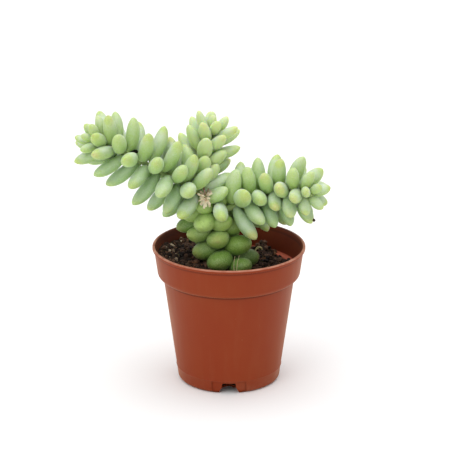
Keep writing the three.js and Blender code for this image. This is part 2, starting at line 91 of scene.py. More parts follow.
# Soil, in millimetres
SOIL_DEPTH_BELOW_RIM = 8.0
SOIL_FALL_TO_RIGHT = 0.165
SWELL_HEIGHT = 0.7
SWELL_LENGTHS = (3.2, 3.7)
SWELL_SHIFTS = (1.1, -0.4)
LUMP_HEIGHT = 0.35
LUMP_LENGTHS_ACROSS = (1.1, 2)
LUMP_LENGTHS_BACK = (2.5, 1.2)
BANK_PLACE = (14.0, 19.0)
BANK_RADIUS = 3.4
BANK_HEIGHT = 4.2

# Leaves and stems, in millimetres and degrees
GOLDEN_ANGLE = 137.5
LEAF_THICKNESS = 0.88
ROOT_FULLNESS = 2.3
TIP_FULLNESS = 1.95
WIDEST_PLACE = 1.15
LEAF_BEND = 0.08
LEAF_LIGHT_SEEKING = 0.6
ROOT_OFFSET = 0.8
ROOT_COVER = 1.2
BURIED_LENGTH = 14.0
FLOWER = (-9.1, -7.5, 76.6)
FLOWER_RADIUS = 3.3
FLOWER_FACING = (-0.1, -0.9, 0.05)

# How many pairs of sides a stem and a fibre have beyond their first four sides
STEM_ROUNDNESS = 3
FIBRE_ROUNDNESS = 2


def mix(start: float, end: float, share: float) -> float:
    """Goes a share of the way from start to end.

    Args:
        start: The value at share 0.
        end: The value at share 1.
        share: How far to go.

    Returns:
        The value there.
    """
    return start + (end - start) * share


def draws(seed: int) -> Iterator[float]:
    """Draws numbers from 0 to 1 in an order that the seed settles.

    Args:
        seed: Any whole number over 0.

    Yields:
        The next number.
    """
    state = seed
    while True:
        state = (state * 16807) % 2147483647
        yield state / 2147483647


def half_width(width: float | np.ndarray, share: float | np.ndarray) -> float | np.ndarray:
    """Gives half a leaf's width at a share of its length.

    Args:
        width: The leaf's full width.
        share: 0 at the root and 1 at the tip.

    Returns:
        Half the width there: full, blunt at the tip and drawn in at the root.
    """
    place = 2 * share**WIDEST_PLACE - 1
    fullness = np.where(place > 0, TIP_FULLNESS, ROOT_FULLNESS)
    return (width / 2) * (1 - np.abs(place) ** fullness) ** (1 / fullness)


def inside_radius(height: float | np.ndarray) -> float | np.ndarray:
    """Gives the radius of the pot's inside: body, ledge, cove and collar.

    Args:
        height: Height above the base, in millimetres.

    Returns:
        The radius in millimetres.
    """
    collar_foot = LEDGE_HEIGHT + COVE_HEIGHT
    rise = np.clip((height - LEDGE_HEIGHT) / COVE_HEIGHT, 0, 1)
    cove = mix(
        BODY_TOP_RADIUS - WALL + LEDGE_WIDTH, COLLAR_FOOT_RADIUS - WALL, np.sqrt(1 - np.square(1 - rise))
    )
    collar = mix(
        COLLAR_FOOT_RADIUS - WALL,
        RIM_RADIUS - LIP_WIDTH,
        (height - collar_foot) / (POT_HEIGHT - collar_foot),
    )
    body = mix(
        BODY_FOOT_RADIUS - WALL,
        BODY_TOP_RADIUS - WALL,
        (height - FOOT_ROUND_HEIGHT) / (LEDGE_HEIGHT - FOOT_ROUND_HEIGHT),
    )
    return np.where(height > collar_foot, collar, np.where(height > LEDGE_HEIGHT, cove, body))


def soil_height(x: float | np.ndarray, y: float | np.ndarray) -> float | np.ndarray:
    """Gives the height of the soil's surface, in millimetres.

    Args:
        x: Place to the right of the pot's axis.
        y: Place behind the pot's axis.

    Returns:
        The height above the base.
    """
    across, back = (x / SWELL_LENGTHS[0] + SWELL_SHIFTS[0], y / SWELL_LENGTHS[1] + SWELL_SHIFTS[1])
    swell = SWELL_HEIGHT * np.sin(across) * np.cos(back)
    first_wave = np.sin(x / LUMP_LENGTHS_ACROSS[0] - y / LUMP_LENGTHS_BACK[0])
    second_wave = np.cos(y / LUMP_LENGTHS_BACK[1] + x / LUMP_LENGTHS_ACROSS[1])
    lumps = LUMP_HEIGHT * first_wave * second_wave
    bank_reach = np.hypot(x - BANK_PLACE[0], y - BANK_PLACE[1]) / BANK_RADIUS
    bank = BANK_HEIGHT * np.exp(-(bank_reach**2))
    return POT_HEIGHT - SOIL_DEPTH_BELOW_RIM - SOIL_FALL_TO_RIGHT * x + swell + lumps + bank


# Modelling by hand


class Bench:
    """The few hand operations that every piece is made with."""

    @staticmethod
    def clear() -> None:
        """Deselects everything in object mode."""
        if bpy.context.object and bpy.context.object.mode != "OBJECT":
            bpy.ops.object.mode_set(mode="OBJECT")
        bpy.ops.object.select_all(action="DESELECT")

    @staticmethod
    def take(piece: Piece) -> None:
        """Selects one piece alone and makes it active.

        Args:
            piece: The piece.
        """
        Bench.clear()
        piece.select_set(True)
        bpy.context.view_layer.objects.active = piece

    @staticmethod
    def pick(piece: Piece, wanted: Callable[[Vector], bool]) -> None:
        """Selects the vertices of the piece being edited whose places are wanted.

        Args:
            piece: The piece in edit mode.
            wanted: Says whether a vertex at a place is selected.
        """
        bpy.ops.mesh.select_mode(type="VERT")
        bpy.ops.mesh.select_all(action="DESELECT")
        bpy.ops.object.mode_set(mode="OBJECT")
        for vertex in piece.data.vertices:
            vertex.select = wanted(vertex.co)
        bpy.ops.object.mode_set(mode="EDIT")

    @staticmethod
    def apply_modifiers(piece: Piece) -> None:
        """Applies every modifier of a piece, in order.

        Args:
            piece: The piece.
        """
        Bench.take(piece)
        for modifier in list(piece.modifiers):
            bpy.ops.object.modifier_apply(modifier=modifier.name)

    @staticmethod
    def settle_place(piece: Piece) -> None:
        """Moves the object's place, turn and scale into its mesh."""
        Bench.take(piece)
        bpy.ops.object.transform_apply(location=True, rotation=True, scale=True)

    @staticmethod
    def face_outwards(piece: Piece) -> None:
        """Merges doubled vertices and turns every face outwards.

        Args:
            piece: A closed piece.
        """
        Bench.take(piece)
        bpy.ops.object.mode_set(mode="EDIT")
        bpy.ops.mesh.select_all(action="SELECT")
        bpy.ops.mesh.remove_doubles(threshold=TOUCHING)
        bpy.ops.mesh.normals_make_consistent(inside=False)
        bpy.ops.object.mode_set(mode="OBJECT")

    @staticmethod
    def front_block(width: float, reach: tuple[float, float], heights: tuple[float, float]) -> Piece:
        """Makes a block that stands across the front of the pot, in millimetres.

        Args:
            width: Its width.
            reach: How far its near and its far side are from the pot's axis.
            heights: The heights of its bottom and its top.

        Returns:
            The block.
        """
        (near, far), (bottom, top) = reach, heights
        Bench.clear()
        middle = Vector((0, -(near + far) / 2, (bottom + top) / 2)) * MM
        bpy.ops.mesh.primitive_cube_add(size=1, location=middle)
        block = bpy.context.object
        block.scale = Vector((width, far - near, top - bottom)) * MM
        Bench.settle_place(block)
        return block

    @staticmethod
    def subtract(piece: Piece, cutter: Piece) -> None:
        """Cuts a shape out of a piece.

        Args:
            piece: The piece that is cut.
            cutter: The shape, which stays.
        """
        modifier = piece.modifiers.new("cut", "BOOLEAN")
        modifier.operation = "DIFFERENCE"
        modifier.solver = "EXACT"
        modifier.object = cutter
        Bench.apply_modifiers(piece)

    @staticmethod
    def smooth(piece: Piece, degrees: float) -> None:
        """Shades a piece smooth, but for edges that are sharper than an angle."""
        Bench.take(piece)
        bpy.ops.object.shade_smooth_by_angle(angle=math.radians(degrees))

    @staticmethod
    def join(name: str, pieces: list[Piece]) -> Piece:
        """Joins pieces into one.

        Args:
            name: The name of the joined piece.
            pieces: The pieces; the first keeps its materials' order.

        Returns:
            The joined piece.
        """
        Bench.clear()
        for piece in pieces:
            piece.select_set(True)
        bpy.context.view_layer.objects.active = pieces[0]
        bpy.ops.object.join()
        whole = bpy.context.object
        whole.name = name
        whole.data.name = name
        return whole

    @staticmethod
    def spin(name: str, outline: list[Corner], steps: int) -> Piece:
        """Spins an outline once round the upright axis.

        Args:
            name: The piece's name.
            outline: Radius and height of each corner, in metres.
            steps: How many sides the piece gets.

        Returns:
            The piece, with its faces pointing outwards.
        """
        Bench.clear()
        bpy.ops.mesh.primitive_plane_add(size=0.001)
        piece = bpy.context.object
        piece.name = name
        bpy.ops.object.mode_set(mode="EDIT")
        bpy.ops.mesh.select_all(action="SELECT")
        bpy.ops.mesh.merge(type="CENTER")
        last = Vector((0.0, 0.0, 0.0))
        for index, (radius, height) in enumerate(outline):
            corner = Vector((radius, 0.0, height))
            if index == 0:
                bpy.ops.transform.translate(value=corner)
            else:
                bpy.ops.mesh.extrude_region_move(TRANSFORM_OT_translate={"value": corner - last})
            last = corner
        bpy.ops.mesh.select_all(action="SELECT")
        bpy.ops.mesh.spin(steps=steps, angle=2 * math.pi, center=(0, 0, 0), axis=(0, 0, 1))
        bpy.ops.object.mode_set(mode="OBJECT")
        Bench.face_outwards(piece)
        return piece

    @staticmethod
    def cord(name: str, points: list[Vector], radii: list[float], roundness: int) -> Piece:
        """Draws a round cord or stem through points.

        Args:
            name: The piece's name.
            points: Places along its middle, in millimetres.
            radii: Its radius at each point, in millimetres.
            roundness: How many pairs of sides it has beyond its first four sides.

        Returns:
            The cord as a closed mesh.
        """
        Bench.clear()
        bpy.ops.curve.primitive_bezier_curve_add()
        piece = bpy.context.object
        piece.name = name
        spline = piece.data.splines[0]
        spline.bezier_points.add(len(points) - len(spline.bezier_points))
        for knot, place, radius in zip(spline.bezier_points, points, radii):
            knot.co = place * MM
            knot.radius = radius * MM
            knot.handle_left_type = "AUTO"
            knot.handle_right_type = "AUTO"
        piece.data.bevel_depth = 1.0
        piece.data.bevel_resolution = roundness
        piece.data.resolution_u = 5
        piece.data.use_fill_caps = True
        bpy.ops.object.convert(target="MESH")
        piece = bpy.context.object
        Bench.face_outwards(piece)
        return piece

    @staticmethod
    def cast(name: str, mould: Piece, places: list[np.ndarray], facts: list[np.ndarray]) -> Piece:
        """Casts copies of a mould, each with vertices of its own, into one piece.

        Args:
            name: The piece's name.
            mould: The piece that is copied, which stays.
            places: For each copy, the place of every vertex, in metres.
            facts: For each copy, four numbers at every vertex that its finish reads.

        Returns:
            The piece.
        """
        faces = [tuple(face.vertices) for face in mould.data.polygons]
        count = len(mould.data.vertices)
        mesh = bpy.data.meshes.new(name)
        mesh.from_pydata(
            np.concatenate(places).tolist(),
            [],
            [tuple(v + k * count for v in face) for k in range(len(places)) for face in faces],
        )
        mesh.polygons.foreach_set("use_smooth", [True] * len(mesh.polygons))
        mesh.color_attributes.new(name=FACTS, type="FLOAT_COLOR", domain="POINT")
        mesh.color_attributes[FACTS].data.foreach_set(
            "color", np.concatenate(facts).astype(np.float32).ravel()
        )
        piece = bpy.data.objects.new(name, mesh)
        bpy.context.scene.collection.objects.link(piece)
        return piece

    @staticmethod
    def discard(piece: Piece) -> None:
        """Takes a mould or a cutter away."""
        bpy.data.objects.remove(piece, do_unlink=True)


def places_of(piece: Piece) -> np.ndarray:
    """Gives the places of a piece's vertices.

    Args:
        piece: The piece.

    Returns:
        A row of three numbers for each vertex.
    """
    places = np.empty(len(piece.data.vertices) * 3)
    piece.data.vertices.foreach_get("co", places)
    return places.reshape(-1, 3)


# Finishes


def linear(red: int, green: int, blue: int) -> Colour:
    """Turns a colour as seen on a screen, 0 to 255, into the renderer's own linear scale."""
    parts = [part / 255 for part in (red, green, blue)]
    return tuple(part / 12.92 if part <= 0.04045 else ((part + 0.055) / 1.055) ** 2.4 for part in parts)


class Recipe:
    """A material's nodes, added one by one and linked as they are added."""

    def __init__(self, name: str) -> None:
        """Starts an empty material with a shader and an output.

        Args:
            name: The material's name.
        """
        self.material = bpy.data.materials.new(name)
        self.material.use_nodes = True
        self.nodes = self.material.node_tree.nodes
        self.links = self.material.node_tree.links
        self.nodes.clear()
        self.shader = self.nodes.new("ShaderNodeBsdfPrincipled")
        output = self.nodes.new("ShaderNodeOutputMaterial")
        self.links.new(self.shader.outputs[0], output.inputs["Surface"])

    def feed(self, socket: Socket, value: Socket | float | tuple) -> None:
        """Links a socket to a value, or sets it.

        Args:
            socket: The socket.
            value: Another node's output, or a number or colour.
        """
        if isinstance(value, Socket):
            self.links.new(value, socket)
        elif isinstance(value, tuple) and len(value) == 3 and socket.type == "RGBA":
            socket.default_value = (*value, 1.0)
        else:
            socket.default_value = value

    def set(self, **values: Socket | float | tuple) -> None:
        """Sets the shader's sockets; a name's underscores stand for spaces."""
        for name, value in values.items():
            self.feed(self.shader.inputs[name.replace("_", " ")], value)

    def place(self) -> Socket:
        """Gives the place on the object, in metres."""
        return self.nodes.new("ShaderNodeTexCoord").outputs["Object"]

    def upward(self) -> Socket:
        """Gives how far the surface faces up: 1 up, 0 level and -1 down."""
        return self.split(self.nodes.new("ShaderNodeTexCoord").outputs["Normal"])[2]

    @cached_property
    def facts(self) -> tuple[Socket, Socket, Socket, Socket]:
        """The four facts that each copy carries at its vertices.

        Returns:
            The place along the copy and its chance, then its youth or, for a bract, how far up it
            points, and how low it hangs.
        """
        attribute = self.nodes.new("ShaderNodeAttribute")
        attribute.attribute_name = FACTS
        split = self.nodes.new("ShaderNodeSeparateColor")
        self.links.new(attribute.outputs["Color"], split.inputs[0])
        return split.outputs[0], split.outputs[1], split.outputs[2], attribute.outputs["Alpha"]

    def stretch(self, place: Socket, scale: Place) -> Socket:
        """Stretches a place along the axes.

        Args:
            place: The place.
            scale: How much it is multiplied along each axis.

        Returns:
            The stretched place.
        """
        mapping = self.nodes.new("ShaderNodeMapping")
        self.feed(mapping.inputs["Scale"], scale)
        self.feed(mapping.inputs["Vector"], place)
        return mapping.outputs[0]

    def split(self, place: Socket) -> tuple[Socket, Socket, Socket]:
        """Takes a place apart.

        Args:
            place: The place.

        Returns:
            Its three numbers.
        """
        separate = self.nodes.new("ShaderNodeSeparateXYZ")
        self.feed(separate.inputs[0], place)
        return separate.outputs[0], separate.outputs[1], separate.outputs[2]

    def clouds(self, place: Socket, scale: float, detail: float = 3.0, roughness: float = 0.55) -> Socket:
        """Gives cloudy values around a half.

        Args:
            place: Where the pattern is read.
            scale: How many clouds there are in a metre.
            detail: How many finer layers are added.
            roughness: How strong the finer layers are.

        Returns:
            The value.
        """
        texture = self.nodes.new("ShaderNodeTexNoise")
        self.feed(texture.inputs["Vector"], place)
        self.feed(texture.inputs["Scale"], scale)
        self.feed(texture.inputs["Detail"], detail)
        self.feed(texture.inputs["Roughness"], roughness)
        return texture.outputs["Fac"]

    def cells(self, place: Socket, scale: float) -> Socket:
        """Gives the distance to the nearest of scattered points.

        Args:
            place: Where the pattern is read.
            scale: How many points there are in a metre.

        Returns:
            The distance.
        """
        texture = self.nodes.new("ShaderNodeTexVoronoi")
        self.feed(texture.inputs["Vector"], place)
        self.feed(texture.inputs["Scale"], scale)
        return texture.outputs["Distance"]

    def band(self, value: Socket, low: float, high: float, start: float = 0.0, end: float = 1.0) -> Socket:
        """Maps a value's span smoothly to another and holds it at the ends.

        Args:
            value: The value.
            low: Where the span starts.
            high: Where the span ends.
            start: The result at low.
            end: The result at high.

        Returns:
            The mapped value.
        """
        node = self.nodes.new("ShaderNodeMapRange")
        node.interpolation_type = "SMOOTHSTEP"
        for index, number in enumerate((value, low, high, start, end)):
            self.feed(node.inputs[index], number)
        return node.outputs[0]

    def sum(self, one: Socket, share: float, other: Socket | float) -> Socket:
        """Adds a share of one value to another.

        Args:
            one: The first value.
            share: How much of it is added.
            other: The second value.

        Returns:
            One times share plus other.
        """
        node = self.nodes.new("ShaderNodeMath")
        node.operation = "MULTIPLY_ADD"
        for index, number in enumerate((one, share, other)):
            self.feed(node.inputs[index], number)
        return node.outputs[0]

    def product(self, first: Socket, *others: Socket | float) -> Socket:
        """Multiplies values with each other, one after the other.

        Args:
            first: The first value.
            others: What it is multiplied by.

        Returns:
            The product.
        """
        result = first
        for other in others:
            node = self.nodes.new("ShaderNodeMath")
            node.operation = "MULTIPLY"
            self.feed(node.inputs[0], result)
            self.feed(node.inputs[1], other)
            result = node.outputs[0]
        return result

    def coats(self, ground: Socket | Colour, *layers: tuple[Socket | float, Socket | Colour]) -> Socket:
        """Lays colours over a ground, one after the other.

        Args:
            ground: The lowest colour.
            layers: How much of each upper colour shows, and that colour, from the lowest up.

        Returns:
            The mixed colour.
        """
        colour = ground
        for share, over in layers:
            node = self.nodes.new("ShaderNodeMix")
            node.data_type = "RGBA"
            self.feed(node.inputs[MIX_SHARE], share)
            self.feed(node.inputs[MIX_UNDER], colour)
            self.feed(node.inputs[MIX_OVER], over)
            colour = node.outputs[MIX_RESULT]
        return colour

    def relief(self, height: Socket, depth: float, strength: float = 1.0) -> None:
        """Gives the surface a fine relief.

        Args:
            height: The relief's height, from 0 to 1.
            depth: How deep it is, in metres.
            strength: How strongly it shows.
        """
        node = self.nodes.new("ShaderNodeBump")
        self.feed(node.inputs["Strength"], strength)
        self.feed(node.inputs["Distance"], depth)
        self.feed(node.inputs["Height"], height)
        self.links.new(node.outputs[0], self.shader.inputs["Normal"])


@dataclass(frozen=True)
class LeafFinish:
    """Waxy succulent leaf: green flesh, a bare yellower tip and a pale powdery bloom in patches. Painted
    shade darkens the root end, the undersides and the hanging leaves. Painted light yellows the leaves that
    point up and whitens their upper sides with extra bloom.

    A span gives where a shade starts and ends and, where it doesn't grow from 0 to 1, its strength there.
    """

    name: str
    flesh: Colour
    deep: Colour
    tip: Colour
    bloom: Colour
    bloom_share: float
    shaded: Colour
    young: Colour
    young_start: float = 0.5
    young_share: float = 0.35
    foot_end: float = 0.45
    foot_share: float = 0.0
    blush: Colour = linear(214, 198, 132)
    point: Colour = linear(168, 128, 84)
    bloom_start: float = -1.0
    bloom_growth: float = 0.6
    unevenness: float = 0.35
    roughness: float = 0.42
    dusty_roughness: float = 0.2
    glow: float = 0.4
    glow_depth: float = 0.003
    sheen: float = 0.18
    dustiness: float = 0.3
    mottle_scale: float = 420.0
    broad_scale: float = 110.0
    dust_scale: float = 2600.0
    rubbing_scale: float = 1000.0
    dot_scale: float = 1500.0
    grain_scale: float = 1900.0
    relief_depth: float = 0.00012
    tip_span: Span = (0.8, 1.08)
    tip_chance_span: Span = (0.0, 1.0, 0.3, 0.85)
    # Painted shade at each leaf's root end, where the leaves crowd
    root_shade_span: Span = (0.45, 0.05, 0.0, 0.7)
    dull_span: Span = (0.3, 0.8, 0.0, 0.5)
    hanging_span: Span = (0.45, 0.85, 0.0, 0.7)
    # Painted light: leaves that point up take the yellower tip colour
    upward_light_span: Span = (0.42, 0.1, 0.0, 0.25)
    # Painted shade on the surfaces that face down
    underside_shade_span: Span = (0.1, -0.9, 0.0, 0.35)
    blush_span: Span = (0.5, 0.62, 0.0, 0.55)
    patch_span: Span = (0.12, 0.74)
    # More bloom on surfaces that face up: partly real bloom, partly a painted highlight
    upper_side_highlight_span: Span = (-0.6, 0.8, 0.1, 1.0)
    # Less bloom on hanging leaves: painted shade
    hanging_bloom_shade_span: Span = (0.5, 0.85, 1.0, 0.6)
    dust_span: Span = (0.45, 0.7)
    rubbed_span: Span = (0.5, 0.72, 0.0, 0.32)
    dot_span: Span = (0.16, 0.05)
    dot_share: float = 0.16
    point_span: Span = (0.985, 0.998)
    point_chance_span: Span = (0.3, 1.0, 0.0, 0.3)

    def bare_tip(self, recipe: Recipe, mottle: Socket) -> Socket:
        """Gives where the bloom is rubbed off.

        Args:
            recipe: The material's nodes.
            mottle: A fine cloudy pattern.

        Returns:
            1 on the tip and 0 on the rest of the leaf.
        """
        along, chance = recipe.facts[:2]
        spread = recipe.band(recipe.sum(mottle, 0.2, along), *self.tip_span)
        return recipe.product(spread, recipe.band(chance, *self.tip_chance_span))

    def body_colour(self, recipe: Recipe, broad: Socket, bare: Socket) -> Socket:
        """Grades the flesh from the root to the tip and from leaf to leaf, with painted shade at the root,
        on the undersides and on hanging leaves, and painted light on leaves that point up.

        Args:
            recipe: The material's nodes.
            broad: A broad cloudy pattern.
            bare: How bare of bloom the leaf is.

        Returns:
            The colour.
        """
        along, chance, youth, hang = recipe.facts
        tone = recipe.sum(chance, 0.5, recipe.product(broad, 0.35))
        return recipe.coats(
            self.flesh,
            # Painted shade towards each leaf's root
            (recipe.band(along, *self.root_shade_span), self.deep),
            (recipe.band(tone, *self.dull_span), self.deep),
            (recipe.band(hang, *self.hanging_span), self.shaded),
            # Painted light on the leaves that point up
            (recipe.band(hang, *self.upward_light_span), self.tip),
            # Painted shade on the faces that look down
            (recipe.band(recipe.upward(), *self.underside_shade_span), self.deep),
            (bare, self.tip),
            (recipe.product(bare, recipe.band(broad, *self.blush_span)), self.blush),
            (recipe.band(youth, self.foot_end, 0.0, 0.0, self.foot_share), self.deep),
            (recipe.band(youth, self.young_start, 1.0, 0.0, self.young_share), self.young),
        )

    def bloom_cover(self, recipe: Recipe, patches: Socket, bare: Socket) -> Socket:
        """Gives how thick the bloom lies: most on upper sides, which is partly real bloom and partly a
        painted highlight, and on young leaves; less on hanging leaves, as painted shade; least on a bare
        tip.

        Args:
            recipe: The material's nodes.
            patches: The cloudy pattern that breaks the bloom up.
            bare: How bare of bloom the leaf is.

        Returns:
            The share of the bloom's colour that shows.
        """
        chance, youth, hang = recipe.facts[1:]
        covered = recipe.band(bare, 0.0, 0.8, self.bloom_share, 0.1 * self.bloom_share)
        lying = recipe.product(
            # Upper sides get more bloom: partly a painted highlight
            recipe.band(recipe.upward(), *self.upper_side_highlight_span),
            recipe.band(youth, self.bloom_start, self.bloom_start + self.bloom_growth, 0.2, 1.0),
            # Hanging leaves get less bloom: painted shade
            recipe.band(hang, *self.hanging_bloom_shade_span),
            recipe.band(chance, 0.1, 0.9, 1.0 - self.unevenness, 1.0),
        )
        return recipe.product(patches, covered, lying)

    def material(self) -> Material:
        """Builds the material.

        Returns:
            The material.
        """
        recipe = Recipe(self.name)
        place = recipe.place()
        along, chance = recipe.facts[:2]
        mottle = recipe.clouds(place, self.mottle_scale, 4, 0.6)
        broad = recipe.clouds(place, self.broad_scale, 2)
        dust = recipe.clouds(place, self.dust_scale, 3, 0.7)
        rubbing = recipe.clouds(place, self.rubbing_scale, 3, 0.65)
        dots = recipe.cells(place, self.dot_scale)
        bare = self.bare_tip(recipe, mottle)
        patches = recipe.band(recipe.sum(mottle, 0.6, recipe.product(broad, 0.5)), *self.patch_span)
        pointed = recipe.band(chance, *self.point_chance_span)
        colour = recipe.coats(
            self.body_colour(recipe, broad, bare),
            (self.bloom_cover(recipe, patches, bare), self.bloom),
            (recipe.band(dust, *self.dust_span, 0.0, self.dustiness), self.bloom),
            (recipe.band(rubbing, *self.rubbed_span), self.deep),
            (recipe.product(recipe.band(dots, *self.dot_span), self.dot_share), self.bloom),
            (recipe.product(recipe.band(along, *self.point_span), pointed), self.point),
        )
        recipe.set(
            Base_Color=colour,
            Roughness=recipe.band(patches, 0.0, 1.0, self.roughness, self.roughness + self.dusty_roughness),
            Subsurface_Weight=self.glow,
            Subsurface_Radius=(0.8, 1.0, 0.2),
            Subsurface_Scale=self.glow_depth,
            Specular_IOR_Level=0.75,
            Sheen_Weight=self.sheen,
            Sheen_Roughness=0.5,
            Sheen_Tint=(0.95, 1.0, 0.98),
        )
        grain = recipe.sum(recipe.clouds(place, self.grain_scale, 2), 0.35, mottle)
        recipe.relief(grain, self.relief_depth, 0.5)
        return recipe.material


OLD_LEAF = LeafFinish(
    name="old_leaf",
    flesh=linear(130, 168, 48),
    deep=linear(54, 98, 8),
    tip=linear(152, 180, 70),
    bloom=linear(198, 218, 150),
    bloom_share=0.7,
    bloom_start=0.05,
    unevenness=0.85,
    blush=linear(178, 178, 102),
    shaded=linear(84, 126, 30),
    young=linear(178, 208, 116),
    young_start=0.2,
    young_share=0.85,
    foot_share=0.65,
    roughness=0.4,
    glow=0.25,
    sheen=0.08,
    dustiness=0.36,
)
YOUNG_LEAF = LeafFinish(
    name="young_leaf",
    flesh=linear(162, 197, 104),
    deep=linear(150, 190, 82),
    tip=linear(184, 202, 98),
    bloom=linear(214, 223, 214),
    bloom_share=0.92,
    shaded=linear(138, 174, 116),
    young=linear(186, 204, 102),
)
# The centre shoot's leaves: a lighter copy of the young leaf, with paler deep, shaded and bloom colours,
# which is painted light
LIT_CENTRE_LEAF = replace(
    YOUNG_LEAF,
    name="lit_centre_leaf",
    flesh=linear(193, 214, 148),
    deep=linear(202, 225, 152),
    tip=linear(196, 208, 130),
    bloom=linear(200, 213, 194),
    shaded=linear(200, 220, 158),
    young=linear(196, 208, 130),
    glow=0.9,
)


@dataclass(frozen=True)
class StemFinish:
    """Pale green stem with leaf scars."""

    name: str = "stem_skin"
    skin: Colour = linear(150, 170, 105)
    scar: Colour = linear(120, 115, 70)
    scar_scale: float = 420.0
    grain_scale: float = 900.0
    relief_depth: float = 0.0002

    def material(self) -> Material:
        """Builds the material.

        Returns:
            The material.
        """
        recipe = Recipe(self.name)
        place = recipe.place()
        scars = recipe.band(recipe.cells(place, self.scar_scale), 0.1, 0.35, 1.0, 0.0)
        colour = recipe.coats(self.skin, (recipe.product(scars, 0.6), self.scar))
        recipe.set(Base_Color=colour, Roughness=0.6)
        recipe.relief(recipe.clouds(place, self.grain_scale), self.relief_depth, 0.6)
        return recipe.material


@dataclass(frozen=True)
class PotFinish:
    """Terracotta-coloured moulded plastic, faintly drawn and scuffed, with painted shade under its collar
    and lip and on the back of its rim, a painted highlight mixed into the scuffs on its lip, and, where set,
    painted light on the inner shelf and a painted shadow at the back left.

    A belt gives a lowest and a highest height and how far it fades out, in millimetres.
    """

    name: str = "pot_plastic"
    body: Colour = (0.262, 0.037, 0.0095)
    warm: Colour = (0.275, 0.045, 0.011)
    # Lighter colour on the lip: scuffs, and a painted highlight
    scuff_and_highlight: Colour = linear(206, 150, 128)
    dust: Colour = linear(160, 115, 88)
    # Painted shade: laid in the creases under the collar and the lip, on the back of the rim and at the back
    # left inside
    painted_shade: Colour = linear(84, 34, 22)
    # Lighter band on the inner shelf: painted light
    shelf: Colour = linear(204, 106, 84)
    shelf_light: float = 0.0
    # How strong the painted shadow at the back left of the inside is
    back_left_shade: float = 0.0
    sheen: float = 0.25
    broad_scale: float = 45.0
    drawn_scale: float = 320.0
    drawn_squash: float = 0.06
    wear_scale: float = 260.0
    splash_scale: float = 150.0
    speck_scale: float = 160.0
    fine_scale: float = 1400.0
    relief_depth: float = 0.00006
    # Painted shade in the creases under the collar and the lip
    collar_crease: Span = (CREASE_HEIGHT - 0.7, CREASE_HEIGHT + 0.2, 0.35)
    collar_shade: float = 0.6
    lip_crease: Span = (LIP_FOOT_HEIGHT - 0.5, LIP_FOOT_HEIGHT, 0.35)
    lip_shade: float = 0.4
    lip_belt: Span = (POT_HEIGHT - 0.3, POT_HEIGHT + 1, 0.3)
    shelf_belt: Span = (SHELF_HEIGHT - 0.35, SHELF_HEIGHT + 0.6, 0.25)
    warm_span: Span = (0.35, 0.7, 0.0, 0.6)
    drawn_span: Span = (0.45, 0.75, 0.0, 0.045)
    wear_span: Span = (0.3, 0.7, 0.3, 0.75)
    # Where the back of the rim is darkened: painted shade
    unlit_span: Span = (2 * MM, 16 * MM, 0.0, 0.9)
    left_span: Span = (-4 * MM, -20 * MM)
    back_span: Span = (2 * MM, 14 * MM)
    foot_span: Span = (7 * MM, 1 * MM)
    splash_span: Span = (0.45, 0.75)
    splash_share: float = 0.22
    speck_span: Span = (0.05, 0.02)
    speck_share: float = 0.2
    roughness_span: Span = (0.3, 0.8, 0.42, 0.55)

    @staticmethod
    def belt(recipe: Recipe, height: Socket, low: float, high: float, blur: float) -> Socket:
        """Gives 1 between two heights, in millimetres, fading out over blur."""
        rise = recipe.band(height, (low - blur) * MM, low * MM)
        return recipe.product(rise, recipe.band(height, (high + blur) * MM, high * MM))

    def material(self) -> Material:
        """Builds the material.

        Returns:
            The material.
        """
        recipe = Recipe(self.name)
        place = recipe.place()
        across, back, height = recipe.split(place)
        broad = recipe.clouds(place, self.broad_scale, 3)
        drawn = recipe.clouds(recipe.stretch(place, (1.0, 1.0, self.drawn_squash)), self.drawn_scale, 3)
        wear = recipe.band(recipe.clouds(place, self.wear_scale), *self.wear_span)
        splashes = recipe.band(recipe.clouds(place, self.splash_scale, 5), *self.splash_span)
        specks = recipe.band(recipe.cells(place, self.speck_scale), *self.speck_span)
        under_collar = self.belt(recipe, height, *self.collar_crease)
        under_lip = self.belt(recipe, height, *self.lip_crease)
        lip = self.belt(recipe, height, *self.lip_belt)
        shelf = self.belt(recipe, height, *self.shelf_belt)
        # Painted shadow on the back left of the inside wall
        left = recipe.band(across, *self.left_span)
        behind = recipe.band(back, *self.back_span, 0.0, self.back_left_shade)
        foot = recipe.product(recipe.band(height, *self.foot_span), splashes)
        colour = recipe.coats(
            self.body,
            (recipe.band(broad, *self.warm_span), self.warm),
            (recipe.band(drawn, *self.drawn_span), self.dust),
            # Painted shade under the collar and the lip
            (recipe.product(under_collar, self.collar_shade), self.painted_shade),
            (recipe.product(under_lip, self.lip_shade), self.painted_shade),
            # Scuffs and a painted highlight on the lip
            (recipe.product(lip, wear), self.scuff_and_highlight),
            # Painted shade on the back of the rim
            (recipe.product(lip, recipe.band(back, *self.unlit_span)), self.painted_shade),
            # Painted light on the inner shelf
            (recipe.product(shelf, self.shelf_light), self.shelf),
            # Painted shadow at the back left
            (recipe.product(left, behind), self.painted_shade),
            (recipe.product(foot, self.splash_share), self.dust),
            (recipe.product(specks, self.speck_share), self.dust),
        )
        recipe.set(
            Base_Color=colour,
            Roughness=recipe.band(drawn, *self.roughness_span),
            Specular_IOR_Level=0.12,
            Sheen_Weight=self.sheen,
            Sheen_Roughness=0.4,
            Sheen_Tint=(1.0, 0.62, 0.28),
        )
        relief = recipe.sum(recipe.clouds(place, self.fine_scale, 2), 0.3, drawn)
        recipe.relief(relief, self.relief_depth, 0.5)
        return recipe.material


